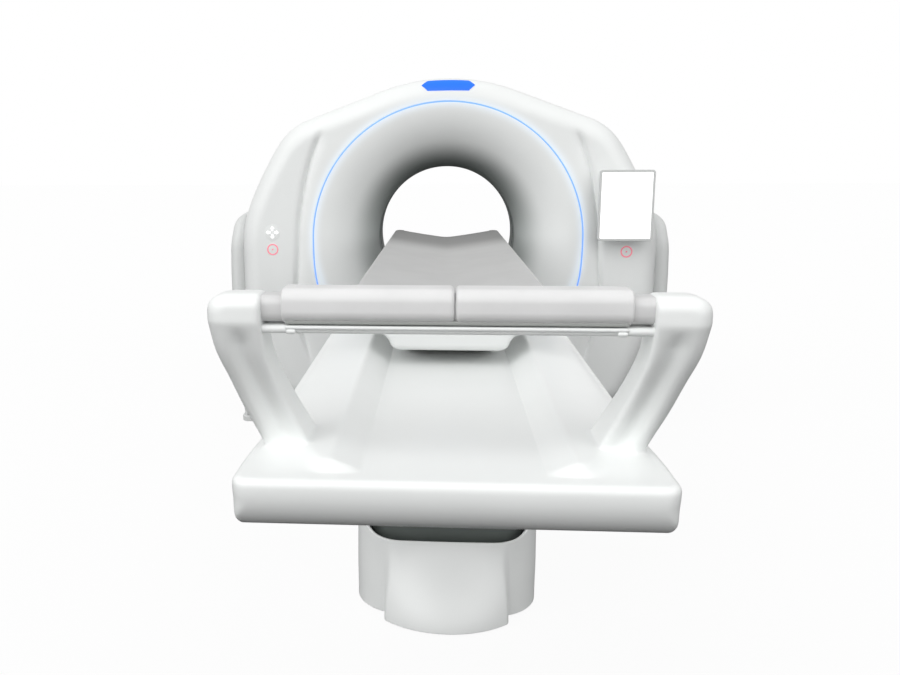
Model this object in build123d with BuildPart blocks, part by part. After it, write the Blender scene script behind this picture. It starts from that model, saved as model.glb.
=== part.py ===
"""CT scanner: a tilting gantry on two stands with a lifting patient table in front of it.

Millimetres. X runs across, Y from the foot end of the table to the gantry, Z up from the floor.
The origin lies on the floor under the middle of the whole length.
"""
from build123d import *
import math
import os

os.makedirs("parts", exist_ok=True)

# How far a cut reaches past the face that it opens
OVERSHOOT = 1.0

# Bore axis and tilt axis
AXIS_Z = 1000.0
GANTRY_FRONT = 975.0
GANTRY_REAR = 1900.0
TILT_Y = GANTRY_FRONT + 450.0

# Gantry covers; the outline's points are the ends of its tangent arcs, from the crown down
COVER_WALL = 14.0
FRONT_ROUND = 100.0
REAR_ROUND = 90.0
FRONT_SEAM = GANTRY_FRONT + 250.0
REAR_SEAM = GANTRY_FRONT + 650.0
DOME_RADIUS = 950.0
DOME_TOP = 1785.0
SHOULDER_SLOPE = 20.1
SHOULDER_END = (700.0, 1590.0)
CORNER_END = (850.0, 1470.0)
CHEEK_END = (1000.0, 1185.0)
SIDE_END = (1048.0, 930.0)
WAIST_END = (1046.0, 700.0)
FLANK_END = (1008.0, 469.0)
HIP_END = (905.0, 215.0)
HEEL_END = (803.0, 150.0)
TRUNNION_OPENING = 72.0

# Bore, mouths and light ring
MOUTH_RADIUS = 664.0
RING_OUTER = 675.0
RING_PROUD = 1.0
RING_DEPTH = 10.0
BORE_RADIUS = 360.0
LINER_WALL = 10.0
MOUTH_DEPTH = 330.0
WINDOW_FRONT = GANTRY_FRONT + 438.0
WINDOW_REAR = GANTRY_FRONT + 462.0
WINDOW_WALL = 4.0
THROAT_REAR = GANTRY_FRONT + 600.0
REAR_MOUTH_RADIUS = 560.0
REAR_MOUTH_SETBACK = 2.0

# Crease between the fascia and the two cheeks
CREASE_X = 749.0
CREASE_DEPTH = 9.0
CREASE_HALF_WIDTH = 16.0
UPPER_CREASE_RADIUS = 1250.0
UPPER_CREASE_ANGLE = 27.0
LOWER_CREASE_RADIUS = 3000.0
LOWER_CREASE_ANGLE = 12.5

# Status light on the brow of the dome
LIGHT_HALF_WIDTH = 129.0
LIGHT_FLAT_HALF = 100.0
LIGHT_HALF_HEIGHT = 33.0
LIGHT_REACH = 40.0
LIGHT_PROUD = 3.0
LIGHT_CENTRE_Z = 1749.0

# Touch keys on the cheeks: centre X, centre Z, radius
MOVE_KEY = (-878.0, 1036.0, 40.0)
STOP_KEY_LEFT = (-878.0, 950.0, 31.0)
STOP_KEY_RIGHT = (884.0, 944.0, 31.0)
KEY_GAP = 0.6
KEY_PROUD = 2.0
KEY_BACK = 8.0
KEY_EDGE = 1.5

# Tablet on the right cheek, with its screen, hinge and bracket
TABLET_X = 852.0
TABLET_Z = 1173.0
TABLET_WIDTH = 260.0
TABLET_HEIGHT = 337.0
TABLET_FRONT = GANTRY_FRONT - 100.0
TABLET_DEPTH = 22.0
TABLET_CORNER = 9.0
TABLET_CHAMFER = 5.0
SCREEN_WIDTH = 238.0
SCREEN_HEIGHT = 311.0
SCREEN_CORNER = 3.0
SCREEN_SEAT = 4.0
SCREEN_DEPTH = 2.0
SCREEN_GAP = 0.3
TABLET_HINGE_Y = GANTRY_FRONT - 58.0
HINGE_RADIUS = 10.0
KNUCKLE_HALF = 24.0
KNUCKLE_GAP = 0.3
PIN_RADIUS = 5.0
PIN_HALF = 33.0
PIN_GAP = 0.05
BRACKET_SIZE = (110.0, 90.0)
BRACKET_CORNER = 12.0
BRACKET_THICK = 8.0
BRACKET_EAR = 9.0
BRACKET_EAR_WALL = 3.0

# Air grilles in the back
GRILLE_X = 560.0
GRILLE_Z = 1440.0
GRILLE_SIZE = (250.0, 90.0)
GRILLE_CORNER = 12.0
GRILLE_DEPTH = 10.0
GRILLE_SETBACK = 2.0
SLOT_SIZE = (220.0, 8.0)
SLOT_PITCH = 14.0
SLOT_COUNT = 5

# Tilting frame
FRAME_FRONT = GANTRY_FRONT + 705.0
FRAME_REAR = FRAME_FRONT + 40.0
PLATE_RADIUS = 770.0
PLATE_BORE = 532.0
MOTOR_LUG_RADIUS = 165.0
POST_RADIUS = 22.0
POST_LUG_RADIUS = 50.0
UPPER_POSTS = [(560.0, 1560.0), (-560.0, 1560.0)]
LOWER_POSTS = [(750.0, 300.0), (-750.0, 300.0)]
EAR_HALF = 970.0
EAR_THICK = 36.0
EAR_FOOT_HEIGHT = 320.0
EAR_HEIGHT = 300.0
EAR_AHEAD = 80.0
TRUNNION_RADIUS = 60.0
TRUNNION_GAP = 0.1
TRUNNION_END = 1116.0

# Main bearing, slip ring and brushes
DRUM_FRONT = GANTRY_FRONT + 600.0
DRUM_REAR = DRUM_FRONT + 40.0
RACE_GAP = 0.5
RACE_RADIUS = 602.0
RACE_OUTER = 660.0
RACE_INNER = 548.0
RACE_STEP = 8.0
SLIP_INNER = 400.0
SLIP_OUTER = 520.0
SLIP_DEPTH = 50.0
BRUSH_SIZE = (180.0, 160.0)
BRUSH_CORNER = 12.0
BRUSH_DEPTH = 50.0
BRUSH_DROP = 530.0
BRUSH_ARM_SIZE = (120.0, 60.0)
BRUSH_ARM_DROP = 470.0
BRUSH_GAP = 1.0

# Rotor and what it carries
DRUM_RADIUS = 735.0
DRUM_BORE = 382.0
DRUM_RIM_WALL = 18.0
DRUM_RIM_DEPTH = 120.0
PART_FRONT = GANTRY_FRONT + 352.0
TUBE_Z = AXIS_Z + 590.0
TUBE_RADIUS = 112.0
TUBE_CHAMFER = 18.0
COLLIMATOR_SIZE = (150.0, 120.0)
COLLIMATOR_CORNER = 10.0
COLLIMATOR_DROP = 190.0
COLLIMATOR_HEIGHT = 120.0
DETECTOR_RADIUS = 1040.0
DETECTOR_DEPTH = 75.0
DETECTOR_START = -115.0
DETECTOR_SPAN = 50.0
DETECTOR_SETBACK = 30.0
UNIT_RADIUS = 560.0
UNIT_CORNER = 14.0
UNIT_CHAMFER = 8.0

# Drive of the rotor
PULLEY_CENTRE = (-640.0, AXIS_Z - 640.0)
PULLEY_RADIUS = 60.0
PULLEY_RIM = 4.0
SHAFT_RADIUS = 18.0
SHAFT_LENGTH = 9.0
MOTOR_RADIUS = 82.0
MOTOR_GAP = 14.0
MOTOR_CHAMFER = 10.0
BELT_THICK = 4.0
BELT_GAP = 0.5
BELT_WIDTH = 34.0
BELT_FRONT = DRUM_FRONT - 3.0
BELT_REAR = BELT_FRONT + BELT_WIDTH

# Stands: front view by points on the outer edge, side view by half depths
PLINTH_HEIGHT = 30.0
PLINTH_CORNER = 40.0
PLINTH_CHAMFER = 3.0
STAND_INNER = 1062.0
STAND_FOOT_X = 1102.0
STAND_CALF = (1168.0, 600.0)
STAND_BELLY = (1180.0, 900.0)
STAND_BROW = (1147.0, 1093.0)
STAND_TOP = 1132.0
STAND_FOOT_HALF = 310.0
STAND_NECK_HALF = 205.0
STAND_NECK_Z = 960.0
POST_HALF = 140.0
POST_TOP = 1030.0
POST_CORNER = 30.0
POST_THICK = 26.0
POST_SETBACK = 4.0
HOUSING_RADIUS = 90.0
HOUSING_DEPTH = 22.0
GEARMOTOR_RADIUS = 74.0
GEARMOTOR_DEPTH = 34.0
GEARMOTOR_RECESS = 5.0
GEARMOTOR_CHAMFER = 8.0
STAND_CLEARANCE = 4.0
POST_CLEARANCE = 20.0

# Floor duct
DUCT_HALF = 120.0
DUCT_HEIGHT = 22.0
DUCT_CHAMFER = 12.0

# Table
DECK_Z = 804.0
DECK_HALF = 404.0
DECK_WALL = 12.0
DECK_REAR = 615.0
DECK_EDGE = 10.0
RIB_X = 200.0
RIB_THICK = 20.0
RIB_MIDDLE = -450.0
RIB_LENGTH = 2000.0
CHANNEL_HALF = 173.0
RIDGE_X = 234.0
RIDGE_FOOT_X = 392.0
RIDGE_HEIGHT = 50.0
RIDGE_FRONT_HEIGHT = 14.0
RIDGE_FRONT_Y = -1852.0
RIDGE_FULL_Y = -725.0
RIDGE_REAR_Y = DECK_REAR - 20.0
RIDGE_SINK = 6.0
BOW_SHIFT = 8.0
BOW_SHARE = 0.66
FOOT_FRONT = -1900.0
FOOT_REAR = -1475.0
FOOT_THICK = 84.0
FOOT_CORNER = 34.0
FOOT_TOP_EDGE = 10.0
FOOT_BOTTOM_EDGE = 8.0

# Frame and skirt under the table
FRAME_TOP = DECK_Z - FOOT_THICK
TABLE_BOTTOM = 640.0
FRAME_START = -1610.0
FRAME_END = 530.0
HEAD_PLATE = 12.0
BEAM_X = 200.0
BEAM_WIDTH = 60.0
CROSS_PLACES = (-1570.0, -1100.0, -400.0, 300.0)
CROSS_LENGTH = 600.0
SKIRT_FRONT = -1690.0
SKIRT_REAR = 603.0
SKIRT_HALF = 380.0
SKIRT_CORNER = 40.0
SKIRT_WALL = 8.0
SKIRT_TAPER = 38.0

# Arms and bar at the foot end
ELBOW_INNER = 350.0
ELBOW_OUTER = 453.0
ELBOW_TOP = 1142.0
ELBOW_BOTTOM = 1050.0
ELBOW_DEPTH = 96.0
ELBOW_CORNER = 34.0
ELBOW_END_ROUND = 33.0
BAR_Y = -1825.0
BAR_Z = 1110.0
BAR_HALF_DEPTH = 34.0
BAR_HALF_HEIGHT = 30.0
BAR_CORNER = 18.0
GRIP_INNER = 1.5
GRIP_OUTER = 312.0
GRIP_BOTTOM = 1087.0
GRIP_TOP = 1152.0
GRIP_HALF_DEPTH = 44.0
GRIP_CORNER = 20.0
GRIP_END_ROUND = 7.0
RAIL_BOTTOM = 1058.0
RAIL_CHAMFER = 9.0
FLANGE_HALF_DEPTH = 41.0
FLANGE_HEIGHT = 22.0
FLANGE_CORNER = 7.0
FLANGE_END = 307.0

# Sections of an arm, from the plate to the elbow: height, centre X, centre Y, width, depth
ARM_CORNER_SHARE = 0.32
ARM_SECTIONS = (
    (DECK_Z - 8, 335, -1645, 150, 160),
    (895, 360, -1725, 130, 130),
    (969, 378, -1785, 118, 110),
    (1052, 403, BAR_Y + 3, 104, 96),
    (1085, 402, BAR_Y, 100, 92),
)

# Cradle, its trolley, and the rollers at the head of the deck
CRADLE_HALF = 270.0
CRADLE_EDGE_Z = 1030.0
CRADLE_NOTCH_Z = 992.0
CRADLE_FOOT = -1000.0
CRADLE_TIP = 1275.0
CRADLE_RIM = 18.0
CRADLE_CORNER = 25.0
CRADLE_FLAT_HALF = 150.0
CRADLE_FLAT_Z = 945.0
CRADLE_UNDER_ROUND = 40.0
TROLLEY_BOTTOM = DECK_Z + 8.0
TROLLEY_FRONT_Y = -975.0
TROLLEY_BOTTOM_Y = -785.0
TROLLEY_REAR_Y = -325.0
TROLLEY_LIP_Z = 854.0
TROLLEY_KEEL = (164.0, TROLLEY_BOTTOM)
TROLLEY_FLARE = (226.0, DECK_Z + 58)
TROLLEY_WAIST = (262.0, DECK_Z + 102)
TROLLEY_SHOULDER = (262.0, 1007.0)
TROLLEY_SEAT = (235.0, 985.0)
TROLLEY_EDGE = 10.0
GLIDE_GAP = 0.5
GLIDE_X = 110.0
GLIDE_MIDDLE = -550.0
GLIDE_SIZE = (40.0, 400.0)
ROLLER_RADIUS = 25.0
ROLLER_PLACES = (507.0, 573.0)
ROLLER_HALF = 140.0
ROLLER_GAP = 0.4
AXLE_RADIUS = 8.0
AXLE_REACH = 24.0
AXLE_GAP = 0.05
SUPPORT_HALF = 168.0
SUPPORT_FRONT = 477.0
SUPPORT_REAR = 603.0
SUPPORT_TOP = 936.0
SUPPORT_FLOOR = 8.0
SUPPORT_CHEEK = 26.0
SUPPORT_CUT = (15.0, 21.0)

# Pedestal
PEDESTAL_HALF = 283.0
PEDESTAL_FRONT = -915.0
PEDESTAL_REAR = 215.0
PEDESTAL_CORNER = 150.0
PEDESTAL_BOTTOM = 4.0
PEDESTAL_TOP = 450.0
PEDESTAL_WALL = 10.0
NOSE_FRONT = -1028.0
NOSE_RADIUS = 279.0
NOSE_HALF = 188.0
NOSE_LENGTH = 280.0
SCOOP_HALF = 244.0
SCOOP_LEAN = 14.0
SCOOP_BOTTOM = 272.0
SCOOP_ROUND = 46.0
SCOOP_REACH = 90.0
BASE_BOTTOM = 12.0
BASE_TOP = 38.0
BASE_INSET = 12.0
FOOT_PAD_RADIUS = 30.0
FOOT_PAD_SPACING = (380.0, 850.0)

# Telescopic column: half width, front, rear, bottom and top of a stage
COLUMN_WALL = 8.0
COLUMN_CORNER = 60.0
MIDDLE_STAGE = (238.0, -840.0, 170.0, 160.0, 556.0)
INNER_STAGE = (222.0, -824.0, 154.0, 300.0, TABLE_BOTTOM + HEAD_PLATE)

# Lift
SCREW_Y = -345.0
SCREW_RADIUS = 20.0
SCREW_GAP = 0.1
SCREW_BOTTOM = 42.0
SCREW_LENGTH = 480.0
NUT_RADIUS = 45.0
NUT_BOTTOM = 400.0
NUT_HEIGHT = 60.0
NUT_ARM_HEIGHT = 30.0
NUT_ARM_WIDTH = 60.0
NUT_ARM_INNER = 41.5
NUT_ARM_OUTER = 214.5
LIFT_MOTOR_SIDE = 150.0
LIFT_MOTOR_CORNER = 16.0
LIFT_MOTOR_HEIGHT = 190.0
LIFT_MOTOR_OFFSET = 170.0
GEARBOX_SIZE = (110.0, 210.0)
GEARBOX_CORNER = 10.0
GEARBOX_HEIGHT = 34.0
GEARBOX_OFFSET = 45.0


def across(y):
    """Plane that faces the foot end at a given Y; sketches on it use X and Z."""
    return Plane.XZ.offset(-y)


def gantry_block(front, rear, inset):
    """Solid of the gantry's outline between two Y planes, inset from the outer skin."""
    slope = math.radians(SHOULDER_SLOPE)
    dome_end = (DOME_RADIUS * math.sin(slope), DOME_TOP - DOME_RADIUS * (1 - math.cos(slope)))
    with BuildPart() as block:
        with BuildSketch(across(rear)):
            with BuildLine():
                dome = RadiusArc((0, DOME_TOP), dome_end, DOME_RADIUS)
                shoulder = Line(dome @ 1, SHOULDER_END)
                corner = TangentArc(shoulder @ 1, CORNER_END, tangent=shoulder % 1)
                cheek = TangentArc(corner @ 1, CHEEK_END, tangent=corner % 1)
                side = TangentArc(cheek @ 1, SIDE_END, tangent=cheek % 1)
                waist = TangentArc(side @ 1, WAIST_END, tangent=side % 1)
                flank = TangentArc(waist @ 1, FLANK_END, tangent=waist % 1)
                hip = TangentArc(flank @ 1, HIP_END, tangent=flank % 1)
                heel = TangentArc(hip @ 1, HEEL_END, tangent=hip % 1)
                Line(heel @ 1, (0, HEEL_END[1]))
                mirror(about=Plane.YZ)
            make_face()
            if inset:
                offset(amount=-inset, mode=Mode.REPLACE)
        extrude(amount=rear - front)
    return block


def bore_ring(inner, outer, front, rear):
    """Plain ring about the bore axis."""
    with BuildPart() as ring:
        with BuildSketch(across(rear)):
            with Locations((0, AXIS_Z)):
                Circle(outer)
                Circle(inner, mode=Mode.SUBTRACT)
        extrude(amount=rear - front)
    return ring


def mouth(outer_radius, throat_y, mouth_y):
    """Bell mouth: a quarter ellipse from the flat rim to the throat, turned about the bore."""
    depth = throat_y - mouth_y
    reach = outer_radius - BORE_RADIUS
    start = 180 if depth > 0 else 90
    skin = math.copysign(LINER_WALL, depth)
    with BuildPart() as bell:
        with BuildSketch(Plane.XY.offset(AXIS_Z)):
            with BuildLine():
                rim = (outer_radius, throat_y)
                face = EllipticalCenterArc(rim, reach, abs(depth), start, arc_size=90)
                back = EllipticalCenterArc(
                    rim, reach - LINER_WALL, abs(depth - skin), start, arc_size=90
                )
                Line(face @ 0, back @ 0)
                Line(face @ 1, back @ 1)
            make_face()
        revolve(axis=Axis((0, 0, AXIS_Z), (0, 1, 0)))
    return bell


def mirrored(right):
    """The left-hand twin of a right-hand piece."""
    with BuildPart() as left:
        mirror(right.part, about=Plane.YZ)
    return left


# Prism of the status light, square to the brow
brow_lift = LIGHT_CENTRE_Z - (DOME_TOP - FRONT_ROUND)
brow_y = GANTRY_FRONT + FRONT_ROUND - math.sqrt(FRONT_ROUND**2 - brow_lift**2)
brow_angle = math.asin(brow_lift / FRONT_ROUND)
brow_plane = Plane(
    origin=(0, brow_y, LIGHT_CENTRE_Z),
    x_dir=(1, 0, 0),
    z_dir=(0, -math.cos(brow_angle), math.sin(brow_angle)),
)
with BuildPart() as light_prism:
    with BuildSketch(brow_plane):
        Polygon(
            (-LIGHT_HALF_WIDTH, 0),
            (-LIGHT_FLAT_HALF, -LIGHT_HALF_HEIGHT),
            (LIGHT_FLAT_HALF, -LIGHT_HALF_HEIGHT),
            (LIGHT_HALF_WIDTH, 0),
            (LIGHT_FLAT_HALF, LIGHT_HALF_HEIGHT),
            (-LIGHT_FLAT_HALF, LIGHT_HALF_HEIGHT),
            align=None,
        )
    extrude(amount=LIGHT_REACH, both=True)

# Front cover: one hollow moulding with the fascia, both cheeks and the brow
front_inner = gantry_block(GANTRY_FRONT + COVER_WALL, FRONT_SEAM, COVER_WALL)
with BuildPart() as front_cavity:
    add(front_inner.part)
    fillet(front_cavity.faces().sort_by(Axis.Y)[0].edges(), FRONT_ROUND - COVER_WALL)

front_outer = gantry_block(GANTRY_FRONT, FRONT_SEAM, 0)
with BuildPart() as front_cover:
    add(front_outer.part)
    fillet(front_cover.faces().sort_by(Axis.Y)[0].edges(), FRONT_ROUND)
    add(front_cavity.part, mode=Mode.SUBTRACT)
    with BuildSketch(across(FRONT_SEAM)):
        with Locations((0, AXIS_Z)):
            Circle(RING_OUTER)
    extrude(amount=FRONT_SEAM - GANTRY_FRONT + OVERSHOOT, mode=Mode.SUBTRACT)
    with BuildSketch(across(GANTRY_FRONT + COVER_WALL + OVERSHOOT)):
        for centre_x, centre_z, radius in (MOVE_KEY, STOP_KEY_LEFT, STOP_KEY_RIGHT):
            with Locations((centre_x, centre_z)):
                Circle(radius + KEY_GAP)
    extrude(amount=COVER_WALL + 2 * OVERSHOOT, mode=Mode.SUBTRACT)
    add(light_prism.part, mode=Mode.SUBTRACT)
    for side in (1, -1):
        for radius, angle, turn in (
            (UPPER_CREASE_RADIUS, UPPER_CREASE_ANGLE, -side),
            (LOWER_CREASE_RADIUS, LOWER_CREASE_ANGLE, side),
        ):
            with BuildSketch(Plane.XY.offset(AXIS_Z)):
                Polygon(
                    (side * (CREASE_X - CREASE_HALF_WIDTH), GANTRY_FRONT - OVERSHOOT / 2),
                    (side * (CREASE_X + CREASE_HALF_WIDTH), GANTRY_FRONT - OVERSHOOT / 2),
                    (side * CREASE_X, GANTRY_FRONT + CREASE_DEPTH),
                    align=None,
                )
            centre = (side * (CREASE_X - radius), 0, AXIS_Z)
            revolve(axis=Axis(centre, (0, turn, 0)), revolution_arc=angle, mode=Mode.SUBTRACT)

# Status light: what the prism holds between the cavity and a skin just proud of the cover
proud_block = gantry_block(GANTRY_FRONT - LIGHT_PROUD, FRONT_SEAM, -LIGHT_PROUD)
with BuildPart() as status_light:
    add(proud_block.part)
    fillet(status_light.faces().sort_by(Axis.Y)[0].edges(), FRONT_ROUND + LIGHT_PROUD)
    add(light_prism.part, mode=Mode.INTERSECT)
    add(front_cavity.part, mode=Mode.SUBTRACT)

# Ring of light between the fascia and the mouth
ring_front = GANTRY_FRONT - RING_PROUD
light_ring = bore_ring(MOUTH_RADIUS, RING_OUTER, ring_front, ring_front + RING_DEPTH)

# Mouths and bore
front_funnel = mouth(MOUTH_RADIUS, GANTRY_FRONT + MOUTH_DEPTH, GANTRY_FRONT)
bore_skin = BORE_RADIUS + LINER_WALL
front_liner = bore_ring(BORE_RADIUS, bore_skin, GANTRY_FRONT + MOUTH_DEPTH, WINDOW_FRONT)
scan_window = bore_ring(BORE_RADIUS, BORE_RADIUS + WINDOW_WALL, WINDOW_FRONT, WINDOW_REAR)
rear_liner = bore_ring(BORE_RADIUS, bore_skin, WINDOW_REAR, THROAT_REAR)
rear_funnel = mouth(REAR_MOUTH_RADIUS, THROAT_REAR, GANTRY_REAR - REAR_MOUTH_SETBACK)

# Side covers: the band of skin between the two seams, parted at the crown and the belly
band_outer = gantry_block(FRONT_SEAM, REAR_SEAM, 0)
band_inner = gantry_block(FRONT_SEAM, REAR_SEAM, COVER_WALL)
with BuildPart() as side_cover_right:
    add(band_outer.part)
    add(band_inner.part, mode=Mode.SUBTRACT)
    split(bisect_by=Plane.YZ, keep=Keep.TOP)
    with BuildSketch(Plane.YZ.offset(EAR_HALF)):
        with Locations((TILT_Y, AXIS_Z)):
            Circle(TRUNNION_OPENING)
    extrude(amount=TRUNNION_END - EAR_HALF, mode=Mode.SUBTRACT)
side_cover_left = mirrored(side_cover_right)

# Rear cover with two openings for the air grilles
rear_outer = gantry_block(REAR_SEAM, GANTRY_REAR, 0)
rear_inner = gantry_block(REAR_SEAM, GANTRY_REAR - COVER_WALL, COVER_WALL)
with BuildPart() as rear_cover:
    add(rear_outer.part)
    fillet(rear_cover.faces().sort_by(Axis.Y)[-1].edges(), REAR_ROUND)
    with BuildPart(mode=Mode.PRIVATE) as rear_cavity:
        add(rear_inner.part)
        fillet(rear_cavity.faces().sort_by(Axis.Y)[-1].edges(), REAR_ROUND - COVER_WALL)
    add(rear_cavity.part, mode=Mode.SUBTRACT)
    with BuildSketch(across(GANTRY_REAR + OVERSHOOT)):
        with Locations((0, AXIS_Z)):
            Circle(REAR_MOUTH_RADIUS)
        with Locations((GRILLE_X, GRILLE_Z), (-GRILLE_X, GRILLE_Z)):
            RectangleRounded(*GRILLE_SIZE, GRILLE_CORNER)
    extrude(amount=COVER_WALL + 2 * OVERSHOOT, mode=Mode.SUBTRACT)

# Air grille: a frame of slats that fills its opening
with BuildPart() as rear_grille_right:
    with BuildSketch(across(GANTRY_REAR - GRILLE_SETBACK)):
        with Locations((GRILLE_X, GRILLE_Z)):
            RectangleRounded(*GRILLE_SIZE, GRILLE_CORNER)
            with GridLocations(0, SLOT_PITCH, 1, SLOT_COUNT):
                SlotOverall(*SLOT_SIZE, mode=Mode.SUBTRACT)
    extrude(amount=GRILLE_DEPTH)
rear_grille_left = mirrored(rear_grille_right)

# Tilting frame: bearing plate, ears with trunnions, and posts that carry the covers
with BuildPart() as cover_posts:
    with BuildSketch(across(GANTRY_REAR - COVER_WALL)):
        with Locations(*UPPER_POSTS, *LOWER_POSTS):
            Circle(POST_RADIUS)
    extrude(amount=GANTRY_REAR - GANTRY_FRONT - 2 * COVER_WALL)
    with BuildPart(mode=Mode.PRIVATE) as gantry_hollow:
        add(front_cavity.part)
        add(band_inner.part)
        add(rear_cavity.part)
    add(gantry_hollow.part, mode=Mode.INTERSECT)

with BuildPart() as gantry_frame:
    with BuildSketch(across(FRAME_REAR)):
        with Locations((0, AXIS_Z)):
            Circle(PLATE_RADIUS)
            Rectangle(2 * EAR_HALF, EAR_FOOT_HEIGHT)
        with Locations(PULLEY_CENTRE, (-PULLEY_CENTRE[0], PULLEY_CENTRE[1])):
            Circle(MOTOR_LUG_RADIUS)
        with Locations(*UPPER_POSTS):
            Circle(POST_LUG_RADIUS)
        with Locations((0, AXIS_Z)):
            Circle(PLATE_BORE, mode=Mode.SUBTRACT)
    extrude(amount=FRAME_REAR - FRAME_FRONT)
    for side in (1, -1):
        with BuildSketch(Plane.YZ.offset(side * (EAR_HALF - EAR_THICK))):
            with Locations(((TILT_Y - EAR_AHEAD + FRAME_FRONT) / 2, AXIS_Z)):
                Rectangle(FRAME_FRONT - TILT_Y + EAR_AHEAD, EAR_HEIGHT)
        extrude(amount=side * EAR_THICK)
        with BuildSketch(Plane.YZ.offset(side * EAR_HALF)):
            with Locations((TILT_Y, AXIS_Z)):
                Circle(TRUNNION_RADIUS)
        extrude(amount=side * (TRUNNION_END - EAR_HALF))
    add(cover_posts.part)

# Main bearing, slip ring and brushes
outer_race = bore_ring(RACE_RADIUS + RACE_GAP, RACE_OUTER, DRUM_REAR + RACE_STEP, FRAME_FRONT)
inner_race = bore_ring(RACE_INNER, RACE_RADIUS, DRUM_REAR, FRAME_FRONT - RACE_STEP)
slip_ring = bore_ring(SLIP_INNER, SLIP_OUTER, DRUM_REAR, DRUM_REAR + SLIP_DEPTH)
with BuildPart() as brush_block:
    with BuildSketch(across(FRAME_REAR + BRUSH_DEPTH)):
        with Locations((0, AXIS_Z - BRUSH_DROP)):
            RectangleRounded(*BRUSH_SIZE, BRUSH_CORNER)
    extrude(amount=BRUSH_DEPTH)
    with BuildSketch(across(FRAME_REAR)):
        with Locations((0, AXIS_Z - BRUSH_ARM_DROP)):
            Rectangle(*BRUSH_ARM_SIZE)
    extrude(amount=FRAME_REAR - DRUM_REAR - SLIP_DEPTH - BRUSH_GAP)

# Drum that carries everything that turns round the patient
with BuildPart() as rotor_drum:
    with BuildSketch(across(DRUM_REAR)):
        with Locations((0, AXIS_Z)):
            Circle(DRUM_RADIUS)
            Circle(DRUM_BORE, mode=Mode.SUBTRACT)
    extrude(amount=DRUM_REAR - DRUM_FRONT)
    with BuildSketch(across(DRUM_FRONT)):
        with Locations((0, AXIS_Z)):
            Circle(DRUM_RADIUS)
            Circle(DRUM_RADIUS - DRUM_RIM_WALL, mode=Mode.SUBTRACT)
    extrude(amount=DRUM_RIM_DEPTH)

with BuildPart() as xray_tube:
    with BuildSketch(across(DRUM_FRONT)):
        with Locations((0, TUBE_Z)):
            Circle(TUBE_RADIUS)
    extrude(amount=DRUM_FRONT - PART_FRONT)
    chamfer(xray_tube.faces().sort_by(Axis.Y)[0].edges(), TUBE_CHAMFER)
    with BuildSketch(Plane.XY.offset(TUBE_Z - COLLIMATOR_DROP)):
        with Locations((0, TILT_Y)):
            RectangleRounded(*COLLIMATOR_SIZE, COLLIMATOR_CORNER)
    extrude(amount=COLLIMATOR_HEIGHT)

# Detector: an arc about the focus of the tube
with BuildPart() as detector_arc:
    with BuildSketch(across(DRUM_FRONT)):
        with BuildLine():
            inner_arc = CenterArc((0, TUBE_Z), DETECTOR_RADIUS, DETECTOR_START, DETECTOR_SPAN)
            outer_arc = CenterArc(
                (0, TUBE_Z), DETECTOR_RADIUS + DETECTOR_DEPTH, DETECTOR_START, DETECTOR_SPAN
            )
            Line(inner_arc @ 0, outer_arc @ 0)
            Line(inner_arc @ 1, outer_arc @ 1)
        make_face()
    extrude(amount=DRUM_FRONT - PART_FRONT - DETECTOR_SETBACK)


def drum_box(angle, width, height, depth):
    """Rounded box on the front face of the drum, at an angle from +X about the bore."""
    turn = math.radians(angle)
    turned = Plane(
        origin=(UNIT_RADIUS * math.cos(turn), DRUM_FRONT, AXIS_Z + UNIT_RADIUS * math.sin(turn)),
        x_dir=(-math.sin(turn), 0, math.cos(turn)),
        z_dir=(0, -1, 0),
    )
    with BuildPart() as box:
        with BuildSketch(turned):
            RectangleRounded(width, height, UNIT_CORNER)
        extrude(amount=depth)
        chamfer(box.faces().sort_by(Axis.Y)[0].edges(), UNIT_CHAMFER)
    return box


high_voltage_tank = drum_box(angle=150, width=280, height=190, depth=215)
heat_exchanger = drum_box(angle=28, width=260, height=180, depth=200)
power_unit = drum_box(angle=196, width=250, height=180, depth=190)
data_box = drum_box(angle=-16, width=240, height=170, depth=180)

# Drive: motor on the frame, pulley, and a belt round pulley and drum
with BuildPart() as drive_motor:
    with BuildSketch(across(FRAME_FRONT)):
        with Locations(PULLEY_CENTRE):
            Circle(MOTOR_RADIUS)
    extrude(amount=FRAME_FRONT - BELT_REAR - MOTOR_GAP)
    chamfer(drive_motor.faces().sort_by(Axis.Y)[0].edges(), MOTOR_CHAMFER)

with BuildPart() as drive_pulley:
    with BuildSketch(across(BELT_REAR + PULLEY_RIM)):
        with Locations(PULLEY_CENTRE):
            Circle(PULLEY_RADIUS)
    extrude(amount=BELT_WIDTH + 2 * PULLEY_RIM)
    with BuildSketch(across(BELT_REAR + PULLEY_RIM + SHAFT_LENGTH)):
        with Locations(PULLEY_CENTRE):
            Circle(SHAFT_RADIUS)
    extrude(amount=SHAFT_LENGTH)


def belt_loop(drum_radius, pulley_radius):
    """Faces inside a loop that touches two circles: both discs and the strip between them."""
    span = math.hypot(PULLEY_CENTRE[0], PULLEY_CENTRE[1] - AXIS_Z)
    toward = math.atan2(PULLEY_CENTRE[1] - AXIS_Z, PULLEY_CENTRE[0])
    lean = math.acos((drum_radius - pulley_radius) / span)
    corners = []
    for centre, radius, turn in (
        ((0, AXIS_Z), drum_radius, -lean),
        (PULLEY_CENTRE, pulley_radius, -lean),
        (PULLEY_CENTRE, pulley_radius, lean),
        ((0, AXIS_Z), drum_radius, lean),
    ):
        angle = toward + turn
        corners.append((centre[0] + radius * math.cos(angle), centre[1] + radius * math.sin(angle)))
    with BuildSketch() as loop:
        with Locations((0, AXIS_Z)):
            Circle(drum_radius)
        with Locations(PULLEY_CENTRE):
            Circle(pulley_radius)
        Polygon(*corners, align=None)
    return loop.sketch


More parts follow.
